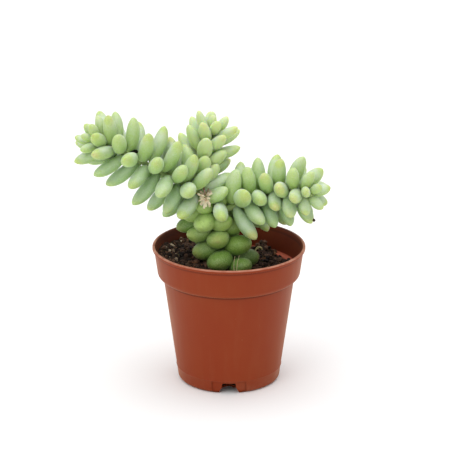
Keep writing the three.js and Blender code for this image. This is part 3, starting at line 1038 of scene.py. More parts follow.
# The inner wall's plastic: a darker copy of the outside, which is painted shade, with a painted shadow at
# the back left and painted light on the shelf
SHADED_POT_INSIDE = PotFinish(
    name="shaded_pot_inside",
    body=(0.155, 0.026, 0.01),
    warm=(0.17, 0.032, 0.012),
    dust=linear(110, 62, 42),
    painted_shade=linear(56, 26, 16),
    shelf_light=0.8,
    back_left_shade=0.6,
    sheen=0.06,
)


@dataclass(frozen=True)
class SoilFinish:
    """Dark moist potting soil."""

    name: str = "potting_soil"
    dark: Colour = linear(31, 21, 15)
    brown: Colour = linear(74, 51, 37)
    pale: Colour = linear(124, 98, 76)
    clod_scale: float = 700.0
    fleck_scale: float = 900.0
    relief_depth: float = 0.0009

    def material(self) -> Material:
        """Builds the material.

        Returns:
            The material.
        """
        recipe = Recipe(self.name)
        place = recipe.place()
        clods = recipe.clouds(place, self.clod_scale, 6, 0.7)
        flecks = recipe.band(recipe.cells(place, self.fleck_scale), 0.22, 0.08)
        colour = recipe.coats(
            self.dark,
            (recipe.band(clods, 0.35, 0.7), self.brown),
            (recipe.product(flecks, 0.5), self.pale),
        )
        recipe.set(Base_Color=colour, Roughness=0.9, Specular_IOR_Level=0.25)
        recipe.relief(clods, self.relief_depth)
        return recipe.material


@dataclass(frozen=True)
class CrumbFinish:
    """Loose grains, each of its own tone between two colours."""

    name: str
    dark: Colour
    pale: Colour
    roughness: float = 0.85
    grain_scale: float = 2200.0
    relief_depth: float = 0.0003

    def material(self) -> Material:
        """Builds the material.

        Returns:
            The material.
        """
        recipe = Recipe(self.name)
        place = recipe.place()
        chance = recipe.facts[1]
        grain = recipe.clouds(place, self.grain_scale, 4, 0.7)
        tone = recipe.sum(grain, 0.5, recipe.product(chance, 0.75))
        colour = recipe.coats(self.dark, (recipe.band(tone, 0.3, 0.95), self.pale))
        recipe.set(Base_Color=colour, Roughness=self.roughness, Specular_IOR_Level=0.3)
        recipe.relief(grain, self.relief_depth, 0.8)
        return recipe.material


@dataclass(frozen=True)
class DryFinish:
    """Papery dry plant matter, cream at the ends and brown at the foot."""

    name: str
    cream: Colour = linear(252, 240, 212)
    tan: Colour = linear(214, 172, 128)
    brown: Colour = linear(104, 62, 38)
    streak_scale: float = 1600.0
    relief_depth: float = 0.0002

    def material(self) -> Material:
        """Builds the material.

        Returns:
            The material.
        """
        recipe = Recipe(self.name)
        place = recipe.place()
        along, chance, upward = recipe.facts[:3]
        streaks = recipe.clouds(place, self.streak_scale, 4, 0.65)
        reach = recipe.sum(streaks, 0.35, along)
        colour = recipe.coats(
            self.brown,
            (recipe.band(reach, 0.1, 0.45), self.tan),
            (recipe.band(reach, 0.35, 0.7), self.cream),
            (recipe.band(chance, 0.6, 1.0, 0.0, 0.35), self.tan),
            (recipe.band(upward, 0.55, 0.95, 0.0, 0.8), self.brown),
        )
        recipe.set(Base_Color=colour, Roughness=0.75, Subsurface_Weight=0.1, Subsurface_Scale=0.0005)
        recipe.relief(streaks, self.relief_depth, 0.8)
        return recipe.material


@dataclass(frozen=True)
class FloorFinish:
    """Plain pale studio floor."""

    name: str = "floor_paper"
    shade: Colour = (0.94, 0.94, 0.94)

    def material(self) -> Material:
        """Builds the material.

        Returns:
            The material.
        """
        recipe = Recipe(self.name)
        recipe.set(Base_Color=self.shade, Roughness=0.9, Specular_IOR_Level=0.1)
        return recipe.material


# Growth rule


@dataclass(frozen=True)
class ShootPlan:
    """How one shoot grows. Places and sizes are in millimetres, and angles in degrees."""

    node: str
    path: tuple[Place, ...]
    stem_radius: float
    leaves: int
    lead_leaves: int
    seed: int
    turn: int
    phase: float
    first_at: float
    last_at: float
    crowding: float
    lift: float
    opening_at_base: float
    opening_at_tip: float
    opening_curve: float
    lengths: tuple[float, float, float, float]
    widths: tuple[float, float, float, float]

    def point(self, at: float) -> Vector:
        """Gives the place at a share of the path.

        Args:
            at: The share.

        Returns:
            The place.
        """
        a, b, c, d = (Vector(corner) for corner in self.path)
        back = 1 - at
        return a * back**3 + b * (3 * back * back * at) + c * (3 * back * at * at) + d * at**3

    def tangent(self, at: float) -> Vector:
        """Gives the direction of growth at a share of the path.

        Args:
            at: The share.

        Returns:
            The direction, 1 long.
        """
        a, b, c, d = (Vector(corner) for corner in self.path)
        back = 1 - at
        slope = (b - a) * (3 * back * back) + (c - b) * (6 * back * at) + (d - c) * (3 * at * at)
        return slope.normalized()


MAIN_STEM = ShootPlan(
    node="main_stem",
    path=((3.0, -3.5, 41.5), (-2.7, 0.2, 57.9), (-8.7, 3.1, 64.8), (-8.6, 0.6, 71.6)),
    stem_radius=2.5, leaves=22, lead_leaves=0, seed=229, turn=-1, phase=205.7,
    first_at=0.12, last_at=0.98, crowding=1.04, lift=0.01,
    opening_at_base=110.8, opening_at_tip=69.4, opening_curve=1.45,
    lengths=(12.9, 11.0, 12.9, 7.0), widths=(9.4, 9.7, 8.6, 7.2),
)
LEFT_STEM = ShootPlan(
    node="left_stem",
    path=((-14.0, -1.7, 78.1), (-18.6, -4.1, 81.6), (-32.7, -0.7, 89.2), (-51.4, -3.2, 98.9)),
    stem_radius=2.0, leaves=46, lead_leaves=5, seed=24, turn=-1, phase=234,
    first_at=0.062, last_at=1.0, crowding=1.6, lift=0.24,
    opening_at_base=102, opening_at_tip=25, opening_curve=2.06,
    lengths=(15.1, 15.5, 13.8, 6.5), widths=(6.9, 6.8, 6.1, 3.8),
)
CENTRE_STEM = ShootPlan(
    node="centre_stem",
    path=((-11.7, 1.9, 77.6), (-11.9, 6.4, 82.2), (-9.5, 8.8, 89.3), (-5.8, 8.5, 99.3)),
    stem_radius=2.0, leaves=28, lead_leaves=1, seed=24, turn=-1, phase=241,
    first_at=0.055, last_at=1.0, crowding=1.34, lift=0.13,
    opening_at_base=80, opening_at_tip=27, opening_curve=1.78,
    lengths=(12.6, 14.1, 12.3, 6.1), widths=(6.0, 6.0, 5.1, 3.5),
)
RIGHT_STEM = ShootPlan(
    node="right_stem",
    path=((-2.4, -2.7, 70.5), (9.7, 1.1, 74.1), (20.4, 5.9, 78.6), (31.2, -9.5, 78.7)),
    stem_radius=2.0, leaves=40, lead_leaves=3, seed=50, turn=1, phase=98,
    first_at=0.099, last_at=1.0, crowding=1.25, lift=-0.04,
    opening_at_base=94, opening_at_tip=46, opening_curve=1.95,
    lengths=(15.0, 14.4, 13.4, 6.0), widths=(6.9, 7.0, 6.4, 3.8),
)
PLANS = (MAIN_STEM, LEFT_STEM, CENTRE_STEM, RIGHT_STEM)
FORK = Vector(MAIN_STEM.path[3])


@dataclass
class Leaf:
    """One leaf: where it is rooted, where it points and how big it is, in millimetres."""

    plan: ShootPlan
    root: Vector
    growth: Vector
    direction: Vector
    length: float
    width: float
    youth: float
    chance: float

    def upper(self) -> Vector:
        """Gives the direction that the leaf's upper side faces."""
        upper = self.growth + Vector((0, 0, LEAF_LIGHT_SEEKING))
        return (upper - self.direction * upper.dot(self.direction)).normalized()

    def middle(self, share: float) -> Vector:
        """Gives the place on the leaf's bent middle line at a share of its length."""
        bend = self.upper() * (share * share * LEAF_BEND * self.length)
        return self.root + self.direction * (share * self.length) + bend


@dataclass
class GrowthRule:
    """Grows every leaf, each turned from the last by the golden angle, and lets crowded leaves settle."""

    clock_wander: float = 7.0
    opening_wander: float = 4.9
    length_wander: float = 0.16
    width_wander: float = 0.1
    stations: tuple[float, ...] = (0, 0.35, 0.75, 1)
    feelers: tuple[float, ...] = (0.34, 0.6, 0.86)
    rounds: int = 16
    gain: float = 0.55
    press: float = 0.96
    clear_of_others: float = 0.5
    sink_share: float = 0.7
    marker_steps: int = 10

    def stand(self, plan: ShootPlan, k: int) -> tuple[Vector, Vector]:
        """Says where leaf k stands.

        Args:
            plan: The shoot.
            k: The leaf's number from the foot; those on the bend from the fork count down from -1.

        Returns:
            The place on the stem and the direction of growth there.
        """
        if k < 0:
            first = plan.point(plan.first_at)
            lead = first - FORK
            return first + lead * (k / (plan.lead_leaves + 2)), lead.normalized()
        share = k / (plan.leaves - 1)
        at = mix(plan.first_at, plan.last_at, 1 - (1 - share) ** plan.crowding)
        return plan.point(at), plan.tangent(at)

    def sprout(self, plan: ShootPlan) -> list[Leaf]:
        """Places the leaves of one shoot.

        Args:
            plan: The shoot.

        Returns:
            Its leaves, the lead leaves last.
        """
        draw = draws(plan.seed)
        leaves = []
        for count in range(plan.leaves + plan.lead_leaves):
            k = count if count < plan.leaves else plan.leaves - 1 - count
            share = max(k, 0) / (plan.leaves - 1)
            on_stem, growth = self.stand(plan, k)
            level = (Vector((0, 1, 0)) - growth * growth.y).normalized()
            across = growth.cross(level)
            clock_draw, opening_draw, size_draw = (next(draw) - 0.5 for _ in range(3))
            clock = math.radians(
                plan.phase + plan.turn * GOLDEN_ANGLE * k + 2 * self.clock_wander * clock_draw
            )
            opening = math.radians(
                mix(plan.opening_at_base, plan.opening_at_tip, share**plan.opening_curve)
                + 2 * self.opening_wander * opening_draw
            )
            outward = level * math.cos(clock) + across * math.sin(clock)
            aimed = (growth * math.cos(opening) + outward * math.sin(opening)).normalized()
            length = float(np.interp(share, self.stations, plan.lengths))
            width = float(np.interp(share, self.stations, plan.widths))
            leaves.append(
                Leaf(
                    plan=plan,
                    root=on_stem + outward * ROOT_OFFSET,
                    growth=growth,
                    direction=(aimed + Vector((0, 0, plan.lift))).normalized(),
                    length=length * (1 + self.length_wander * size_draw),
                    width=width * (1 + self.width_wander * size_draw),
                    youth=share,
                    chance=clock_draw + 0.5,
                )
            )
        return leaves

    def markers(self) -> tuple[np.ndarray, np.ndarray, list[str]]:
        """Gives points down each stem, and the dry flower, that leaves of other shoots keep off.

        Returns:
            Their places, radii and nodes.
        """
        places, radii, nodes = [FLOWER], [FLOWER_RADIUS], ["dried_flower"]
        for plan in PLANS:
            for step in range(self.marker_steps + 1):
                places.append(tuple(plan.point(step / self.marker_steps)))
                radii.append(plan.stem_radius)
                nodes.append(plan.node)
        return np.array(places), np.array(radii), nodes

    def settle(self, leaves: list[Leaf]) -> None:
        """Turns crowded leaves about their roots until they lie side by side.

        Args:
            leaves: Every leaf of the plant; their directions are changed.
        """
        count, feelers = len(leaves), len(self.feelers)
        shares = np.array(self.feelers)
        roots = np.array([leaf.root for leaf in leaves])
        directions = np.array([leaf.direction for leaf in leaves])
        lengths = np.array([leaf.length for leaf in leaves])
        widths = np.array([leaf.width for leaf in leaves])
        owner = np.repeat(np.arange(count), feelers)
        shoot = np.repeat([leaf.plan.node for leaf in leaves], feelers)
        radii = half_width(widths[:, None], shares[None]).ravel()
        same_shoot = shoot[:, None] == shoot[None]
        limits = (radii[:, None] + radii[None]) * np.where(same_shoot, self.press, 1.0)
        limits += np.where(same_shoot, 0.0, self.clear_of_others)
        marker_places, marker_radii, marker_nodes = self.markers()
        marker_limits = radii[:, None] + marker_radii[None] + self.clear_of_others
        own_marker = shoot[:, None] == np.array(marker_nodes)[None]
        for _ in range(self.rounds):
            reach = directions[:, None] * (lengths[:, None] * shares[None])[..., None]
            centres = (roots[:, None] + reach).reshape(-1, 3)
            away = centres[:, None] - centres[None]
            distance = np.linalg.norm(away, axis=-1)
            overlap = np.where(owner[:, None] == owner[None], 0, np.maximum(limits - distance, 0))
            push = (away * (overlap / (distance + TOUCHING) * 0.5)[..., None]).sum(axis=1)
            away = centres[:, None] - marker_places[None]
            distance = np.linalg.norm(away, axis=-1)
            overlap = np.where(own_marker, 0, np.maximum(marker_limits - distance, 0))
            push += (away * (overlap / (distance + TOUCHING))[..., None]).sum(axis=1)
            bed = soil_height(centres[:, 0], centres[:, 1]) + radii * self.sink_share
            push[:, 2] += np.maximum(bed - centres[:, 2], 0)
            across = np.hypot(centres[:, 0], centres[:, 1])
            room = inside_radius(np.minimum(centres[:, 2], POT_HEIGHT)) - radii - self.clear_of_others
            stuck = (centres[:, 2] < POT_HEIGHT + radii) & (across > room)
            inward = np.where(stuck, (across - room) / (across + NEXT_TO_NOTHING), 0)
            push[:, :2] -= centres[:, :2] * inward[:, None]
            turn = (push.reshape(count, feelers, 3) * shares[None, :, None]).sum(axis=1)
            directions = directions + turn * (self.gain / lengths)[:, None]
            directions /= np.linalg.norm(directions, axis=1, keepdims=True)
        for leaf, direction in zip(leaves, directions):
            leaf.direction = Vector(direction)

    def grow(self) -> dict[str, list[Leaf]]:
        """Grows the whole plant.

        Returns:
            The leaves of each shoot by its node's name.
        """
        shoots = {plan.node: self.sprout(plan) for plan in PLANS}
        self.settle([leaf for leaves in shoots.values() for leaf in leaves])
        return shoots


# Pieces


@dataclass
class LeafMould:
    """The one leaf that every leaf is cast from: 1 long up Z, and 1 either side of its middle."""

    sides: int = 18
    rings: int = 14
    upper_flatness: float = 0.84
    point_length: float = 0.012
    nearness: float = 1e-4

    def build(self) -> Piece:
        """Shapes a ball into a leaf, ring by ring.

        Returns:
            The mould.
        """
        Bench.clear()
        bpy.ops.mesh.primitive_uv_sphere_add(
            segments=self.sides, ring_count=self.rings, radius=0.5, location=(0, 0, 0.5)
        )
        mould = bpy.context.object
        mould.name = "leaf_mould"
        Bench.settle_place(mould)
        bpy.ops.object.mode_set(mode="EDIT")
        for ring in range(1, self.rings):
            angle = math.pi * ring / self.rings
            height = 0.5 - 0.5 * math.cos(angle)
            swell = half_width(2.0, height) / (0.5 * math.sin(angle))
            Bench.pick(mould, lambda co: abs(co.z - height) < self.nearness)
            bpy.ops.transform.resize(value=(swell, swell, 1), center_override=(0, 0, height))
        Bench.pick(mould, lambda co: co.y > self.nearness)
        bpy.ops.transform.resize(value=(1, self.upper_flatness, 1), center_override=(0, 0, 0))
        Bench.pick(mould, lambda co: co.z > 1 - self.nearness)
        bpy.ops.transform.translate(value=(0, 0, self.point_length))
        Bench.clear()
        return mould


# Leaves beyond the rule: three close gaps at the back, and the last is a large one low on the left
ADDED_LEAVES = tuple(
    Leaf(plan, Vector(root), Vector(growth), Vector(direction).normalized(), length, width, youth, chance)
    for plan, root, growth, direction, length, width, youth, chance in (
        (RIGHT_STEM, (-3.0, 1.6, 69.8), (1.0, 0.0, 0.0), (0.62, 0.35, -0.55), 9.0, 5.4, 0.1, 0.4),
        (LEFT_STEM, (-34.3, -2.2, 89.9), (-0.85, 0.0, 0.5), (-0.42, 0.74, -0.53), 12.4, 5.0, 0.5, 0.6),
        (LEFT_STEM, (-18.4, -2.6, 81.0), (-0.6, 0.0, 0.8), (-0.05, 0.51, 0.86), 12.8, 4.8, 0.15, 0.5),
        (MAIN_STEM, (-8.0, 1.5, 67.4), (-0.3, 0.0, 0.95), (-0.86, -0.12, -0.5), 13.8, 8.4, 0.2, 0.7),
    )
)


@dataclass
class LeafyShoot:
    """A stem with its leaves, in the place of the node of the same name."""

    plan: ShootPlan
    leaves: list[Leaf]
    finish: LeafFinish
    slot: str
    stem_shrink: float = 0.75
    stem_taper: float = 0.5
    stem_stops: tuple[float, ...] = (0, 0.25, 0.5, 0.75, 1)

    def leaf_places(self, leaf: Leaf, shape: np.ndarray) -> np.ndarray:
        """Bends and stretches the mould's vertices into one leaf.

        Args:
            leaf: The leaf.
            shape: The mould's vertices.

        Returns:
            The leaf's vertices, in metres.
        """
        upper = leaf.upper()
        side = upper.cross(leaf.direction)
        share = shape[:, 2:3]
        along = np.array(leaf.direction) * (share * leaf.length)
        bend = np.array(upper) * (np.square(share) * LEAF_BEND * leaf.length)
        across = np.array(side) * (shape[:, 0:1] * leaf.width / 2)
        thick = np.array(upper) * (shape[:, 1:2] * leaf.width / 2 * LEAF_THICKNESS)
        return (np.array(leaf.root) + along + bend + across + thick) * MM

    def build_leaves(self, mould: Piece) -> Piece:
        """Casts the shoot's leaves.

        Args:
            mould: The leaf mould.

        Returns:
            One piece with all the leaves.
        """
        shape = places_of(mould)
        places, facts = [], []
        for leaf in self.leaves:
            places.append(self.leaf_places(leaf, shape))
            share = np.clip(shape[:, 2], 0, 1)
            own = [leaf.chance, leaf.youth, 0.5 - 0.5 * leaf.direction.z]
            facts.append(np.column_stack([share, np.tile(own, (len(share), 1))]))
        piece = Bench.cast(f"{self.plan.node}_leaves", mould, places, facts)
        piece.data.materials.append(self.finish.material())
        return piece

    def build_stem(self) -> Piece:
        """Draws the stem from the fork, or from in the soil, to just past the last leaves.

        Returns:
            The stem.
        """
        points = [self.plan.point(at) for at in self.stem_stops]
        points.append(points[-1] + self.plan.tangent(1) * ROOT_COVER)
        foot = points[0] - Vector((0, 0, BURIED_LENGTH)) if self.plan is MAIN_STEM else FORK
        points.insert(0, foot)
        radius = self.plan.stem_radius * self.stem_shrink
        last = len(points) - 1
        radii = [radius * mix(1.0, self.stem_taper, index / last) for index in range(last + 1)]
        piece = Bench.cord(f"{self.plan.node}_core", points, radii, STEM_ROUNDNESS)
        piece.data.materials.append(StemFinish(name=f"{self.plan.node}_skin").material())
        return piece

    def build(self, mould: Piece) -> Piece:
        """Makes the shoot and lets it stand for its node.

        Args:
            mould: The leaf mould.

        Returns:
            The shoot.
        """
        piece = Bench.join(f"{self.plan.node}_shoot", [self.build_leaves(mould), self.build_stem()])
        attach(piece, "root")
        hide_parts(self.plan.node)
        return piece


@dataclass
class DrainNotch:
    """The shape of a drain notch at the front of the foot: pointed in plan, and narrower upwards."""

    count: int = 3
    width: float = 8.3
    waist_width: float = 5.7
    waist_height: float = 2.4
    top_width: float = 5.1
    height: float = 4.3
    shoulder_radius: float = 14.3
    shoulder_share: float = 0.72
    inner_radius: float = 11.9
    point_share: float = 0.02
    overreach: tuple[float, float] = (2.0, 1.0)
    end_reach: float = 0.1

    def build_cutter(self, clearance: float) -> Piece:
        """Makes the block that a notch is cut with.

        Args:
            clearance: How far it is grown, in millimetres.

        Returns:
            The block.
        """
        past_front, below = self.overreach
        near = self.inner_radius - clearance
        top = self.height + clearance
        shoulder = self.shoulder_radius - clearance
        block = Bench.front_block(
            self.width + 2 * clearance, (near, BODY_FOOT_RADIUS + past_front), (-below, top)
        )
        bpy.ops.object.mode_set(mode="EDIT")
        for place, facing in (
            ((0, 0, 0), (0, 0, 1)),
            ((0, 0, self.waist_height * MM), (0, 0, 1)),
            ((0, -shoulder * MM, 0), (0, 1, 0)),
            ((0, -BASE_RADIUS * MM, 0), (0, 1, 0)),
        ):
            bpy.ops.mesh.select_all(action="SELECT")
            bpy.ops.mesh.bisect(plane_co=place, plane_no=facing)
        sizes = (
            (lambda co: abs(co.z - self.waist_height * MM) < TOUCHING, self.waist_width / self.width),
            (lambda co: co.z > (top - self.end_reach) * MM, self.top_width / self.width),
            (lambda co: abs(co.y + shoulder * MM) < TOUCHING, self.shoulder_share),
            (lambda co: co.y > -(near + self.end_reach) * MM, self.point_share),
        )
        for wanted, share in sizes:
            Bench.pick(block, wanted)
            bpy.ops.transform.resize(value=(share, 1, 1), center_override=(0, 0, 0))
        Bench.clear()
        return block

    def cut(self, piece: Piece, cutter: Piece) -> None:
        """Cuts a block out of a piece at each drain place.

        Args:
            piece: The piece that is cut.
            cutter: The block at the front, which is taken away afterwards.
        """
        shape = cutter.data.copy()
        for index in range(self.count):
            cutter.data = shape.copy()
            cutter.data.transform(Matrix.Rotation(2 * math.pi * index / self.count, 4, "Z"))
            Bench.subtract(piece, cutter)
        Bench.discard(cutter)


class Start(Enum):
    """Which way a quarter round leaves its first corner."""

    LEVEL = "level"
    UPRIGHT = "upright"


@dataclass
class NurseryPot:
    """The thin moulded pot: lip, collar, inner ledge, tapered body, rounded foot and drain notches."""

    sides: int = 120
    drain: DrainNotch = field(default_factory=DrainNotch)
    recess_width: float = 13.5
    recess_bottom: float = 0.4
    recess_top: float = 5.0
    recess_depth: float = 0.45
    recess_reach: tuple[float, float] = (BASE_RADIUS - 4, BASE_RADIUS + 6)
    ridge_height: float = 5.45
    ridge_reach: float = 0.45
    ridge_rise: float = 0.18
    crease_corners: tuple[Corner, ...] = ((-0.05, -0.5), (0.1, -0.08), (0.5, 0.08))
    collar_round: float = 2.3
    lip_under: tuple[Corner, ...] = ((-0.25, 0.2), (0.0, 0.55))
    lip_outside: tuple[Corner, ...] = ((0.0, -0.45), (-0.45, 0.0))
    lip_inside: tuple[Corner, ...] = ((0.3, 0.0), (0.0, -0.35))
    shelf_corner: tuple[Corner, ...] = ((0.0, 0.9), (-0.6, 0.2))
    shelf_lip: tuple[Corner, ...] = ((0.4, 0.1), (0.0, -0.3))
    wide_steps: int = 6
    lip_steps: int = 4
    small_steps: int = 3
    smooth_angle: float = 32.0
    inside_bottom: float = 20.2
    inside_top: float = POT_HEIGHT - 0.3
    finish: PotFinish = field(default_factory=PotFinish)
    inside_finish: PotFinish = field(default_factory=lambda: SHADED_POT_INSIDE)

    @staticmethod
    def near(corner: Corner, shifts: tuple[Corner, ...]) -> list[Corner]:
        """Gives corners of the outline at small shifts, outwards and up, from one corner."""
        return [(corner[0] + outwards, corner[1] + up) for outwards, up in shifts]

    @staticmethod
    def arc(start: Corner, end: Corner, steps: int, leaving: Start) -> list[Corner]:
        """Gives a quarter round between two corners of the outline.

        Args:
            start: Its first radius and height.
            end: Its last radius and height.
            steps: How many straight pieces it has.
            leaving: Which way it leaves start.

        Returns:
            Its points.
        """
        points = []
        for step in range(steps + 1):
            angle = step / steps * math.pi / 2
            fast, slow = math.sin(angle), 1 - math.cos(angle)
            radius_share, height_share = (fast, slow) if leaving is Start.LEVEL else (slow, fast)
            points.append((mix(start[0], end[0], radius_share), mix(start[1], end[1], height_share)))
        return points

    def foot_outline(self) -> list[Corner]:
        """Gives the outside of the base, the foot's rounding and the lower body.

        Returns:
            Radius and height of each corner, in millimetres.
        """
        ridge = []
        for shift, rise in ((-self.ridge_reach, 0.0), (0.0, self.ridge_rise), (self.ridge_reach, 0.0)):
            height = self.ridge_height + shift
            share = (height - FOOT_ROUND_HEIGHT) / (CREASE_HEIGHT - FOOT_ROUND_HEIGHT)
            ridge.append((mix(BODY_FOOT_RADIUS, BODY_TOP_RADIUS, share) + rise, height))
        foot = (BODY_FOOT_RADIUS, FOOT_ROUND_HEIGHT)
        return [
            (0.0, 0.0),
            *self.arc((BASE_RADIUS, 0.0), foot, self.wide_steps, Start.LEVEL),
            *ridge,
            (mix(BODY_FOOT_RADIUS, BODY_TOP_RADIUS, 0.5), mix(FOOT_ROUND_HEIGHT, CREASE_HEIGHT, 0.5)),
        ]

    def outline(self) -> list[Corner]:
        """Gives the wall's closed outline, up the outside and down the inside.

        Returns:
            Radius and height of each corner, in millimetres.
        """
        collar_start = (COLLAR_FOOT_RADIUS, CREASE_HEIGHT + self.collar_round)
        collar_end = (COLLAR_TOP_RADIUS, LIP_FOOT_HEIGHT)
        below, above, outside = self.near((BODY_TOP_RADIUS, CREASE_HEIGHT), self.crease_corners)
        lip_under = self.near((RIM_RADIUS, LIP_FOOT_HEIGHT), self.lip_under)
        lip_outside = self.near((RIM_RADIUS, POT_HEIGHT), self.lip_outside)
        lip_inside = self.near((RIM_RADIUS - LIP_WIDTH, POT_HEIGHT), self.lip_inside)
        shelf_corner = self.near((COLLAR_FOOT_RADIUS - WALL, SHELF_HEIGHT), self.shelf_corner)
        shelf_lip = self.near((BODY_TOP_RADIUS - WALL + LEDGE_WIDTH, SHELF_HEIGHT), self.shelf_lip)
        return [
            *self.foot_outline(),
            below,
            above,
            *self.arc(outside, collar_start, self.wide_steps, Start.LEVEL),
            (mix(collar_start[0], collar_end[0], 0.5), mix(collar_start[1], collar_end[1], 0.5)),
            collar_end,
            *self.arc(*lip_under, self.small_steps, Start.LEVEL),
            *self.arc(*lip_outside, self.lip_steps, Start.UPRIGHT),
            *self.arc(*lip_inside, self.small_steps, Start.LEVEL),
            (COLLAR_TOP_RADIUS - WALL, LIP_FOOT_HEIGHT),
            *self.arc(*shelf_corner, self.small_steps, Start.UPRIGHT),
            *self.arc(*shelf_lip, self.small_steps, Start.LEVEL),
            (BODY_TOP_RADIUS - WALL, LEDGE_HEIGHT - LEDGE_FALL),
            (BODY_FOOT_RADIUS - WALL, FOOT_ROUND_HEIGHT + WALL),
            (HEEL_RADIUS - WALL, HEEL_HEIGHT + WALL),
            (BASE_RADIUS - WALL, WALL),
            (0.0, WALL),
        ]

    def build_recess_cutter(self) -> Piece:
        """Makes the shell that presses a shallow panel into the foot around a notch.

        Returns:
            The shell.
        """
        heights = (self.recess_bottom, self.recess_top)
        block = Bench.front_block(self.recess_width, self.recess_reach, heights)
        core_outline = [
            (max(radius - self.recess_depth, 0.0) * MM, height * MM)
            for radius, height in self.foot_outline()
        ]
        core = Bench.spin("recess_core", [*core_outline, (0.0, core_outline[-1][1])], self.sides)
        Bench.subtract(block, core)
        Bench.discard(core)
        return block

    def build(self) -> Piece:
        """Makes the pot and lets it stand for its node.

        Returns:
            The pot.
        """
        outline = [(radius * MM, height * MM) for radius, height in self.outline()]
        pot = Bench.spin("nursery_pot", outline, self.sides)
        self.drain.cut(pot, self.build_recess_cutter())
        self.drain.cut(pot, self.drain.build_cutter(0.0))
        Bench.smooth(pot, self.smooth_angle)
        pot.data.materials.append(self.finish.material())
        pot.data.materials.append(self.inside_finish.material())
        # The wall's inward faces get the darker inside plastic, which is painted shade
        for face in pot.data.polygons:
            inward = face.normal.x * face.center.x + face.normal.y * face.center.y < 0
            high = self.inside_bottom * MM < face.center.z < self.inside_top * MM
            face.material_index = int(inward and high)
        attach(pot, "root")
        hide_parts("pot")
        return pot


class Spread(Enum):
    """Where one kind of loose lump lies on the soil."""

    ANYWHERE = "anywhere"
    LEFT_WALL = "mostly along the left and back wall"
    MARKED = "at marked spots"


@dataclass(frozen=True)
class Lumps:
    """One kind of loose lump. Its sizes are the smallest and the largest radius, in millimetres."""

    name: str
    finish: CrumbFinish
    count: int
    seed: int
    sizes: tuple[float, float]
    shape: Place
    spread: Spread


LARGE_GRAIN_SPOTS = (
    (-25.1, 6.8), (-22.3, 10.9), (-19.2, 19.4), (-23.3, 3.6), (-21.7, 1.8), (-20.1, -1.0), (-20.5, -4.8)
)
SOIL_CRUMBS = Lumps(
    name="soil_crumbs",
    finish=CrumbFinish("soil_crumb", linear(24, 17, 14), linear(98, 70, 54)),
    count=1500, seed=71, sizes=(0.25, 1.25), shape=(1, 1, 0.8), spread=Spread.ANYWHERE,
)
BARK_BITS = Lumps(
    name="bark_bits",
    finish=CrumbFinish("bark_bit", linear(52, 32, 22), linear(128, 88, 60)),
    count=190, seed=97, sizes=(0.4, 1.2), shape=(1.7, 0.6, 0.4), spread=Spread.ANYWHERE,
)
PALE_GRAINS = Lumps(
    name="pale_grains",
    finish=CrumbFinish("pale_grain", linear(140, 122, 100), linear(200, 184, 158), 0.7),
    count=12, seed=43, sizes=(0.35, 0.6), shape=(1.4, 0.8, 0.7), spread=Spread.LEFT_WALL,
)
LARGE_PALE_GRAINS = Lumps(
    name="large_pale_grains",
    finish=CrumbFinish("large_pale_grain", linear(146, 124, 104), linear(186, 168, 146), 0.75),
    count=len(LARGE_GRAIN_SPOTS), seed=60, sizes=(0.8, 1.0), shape=(0.7, 0.7, 1.3), spread=Spread.MARKED,
)


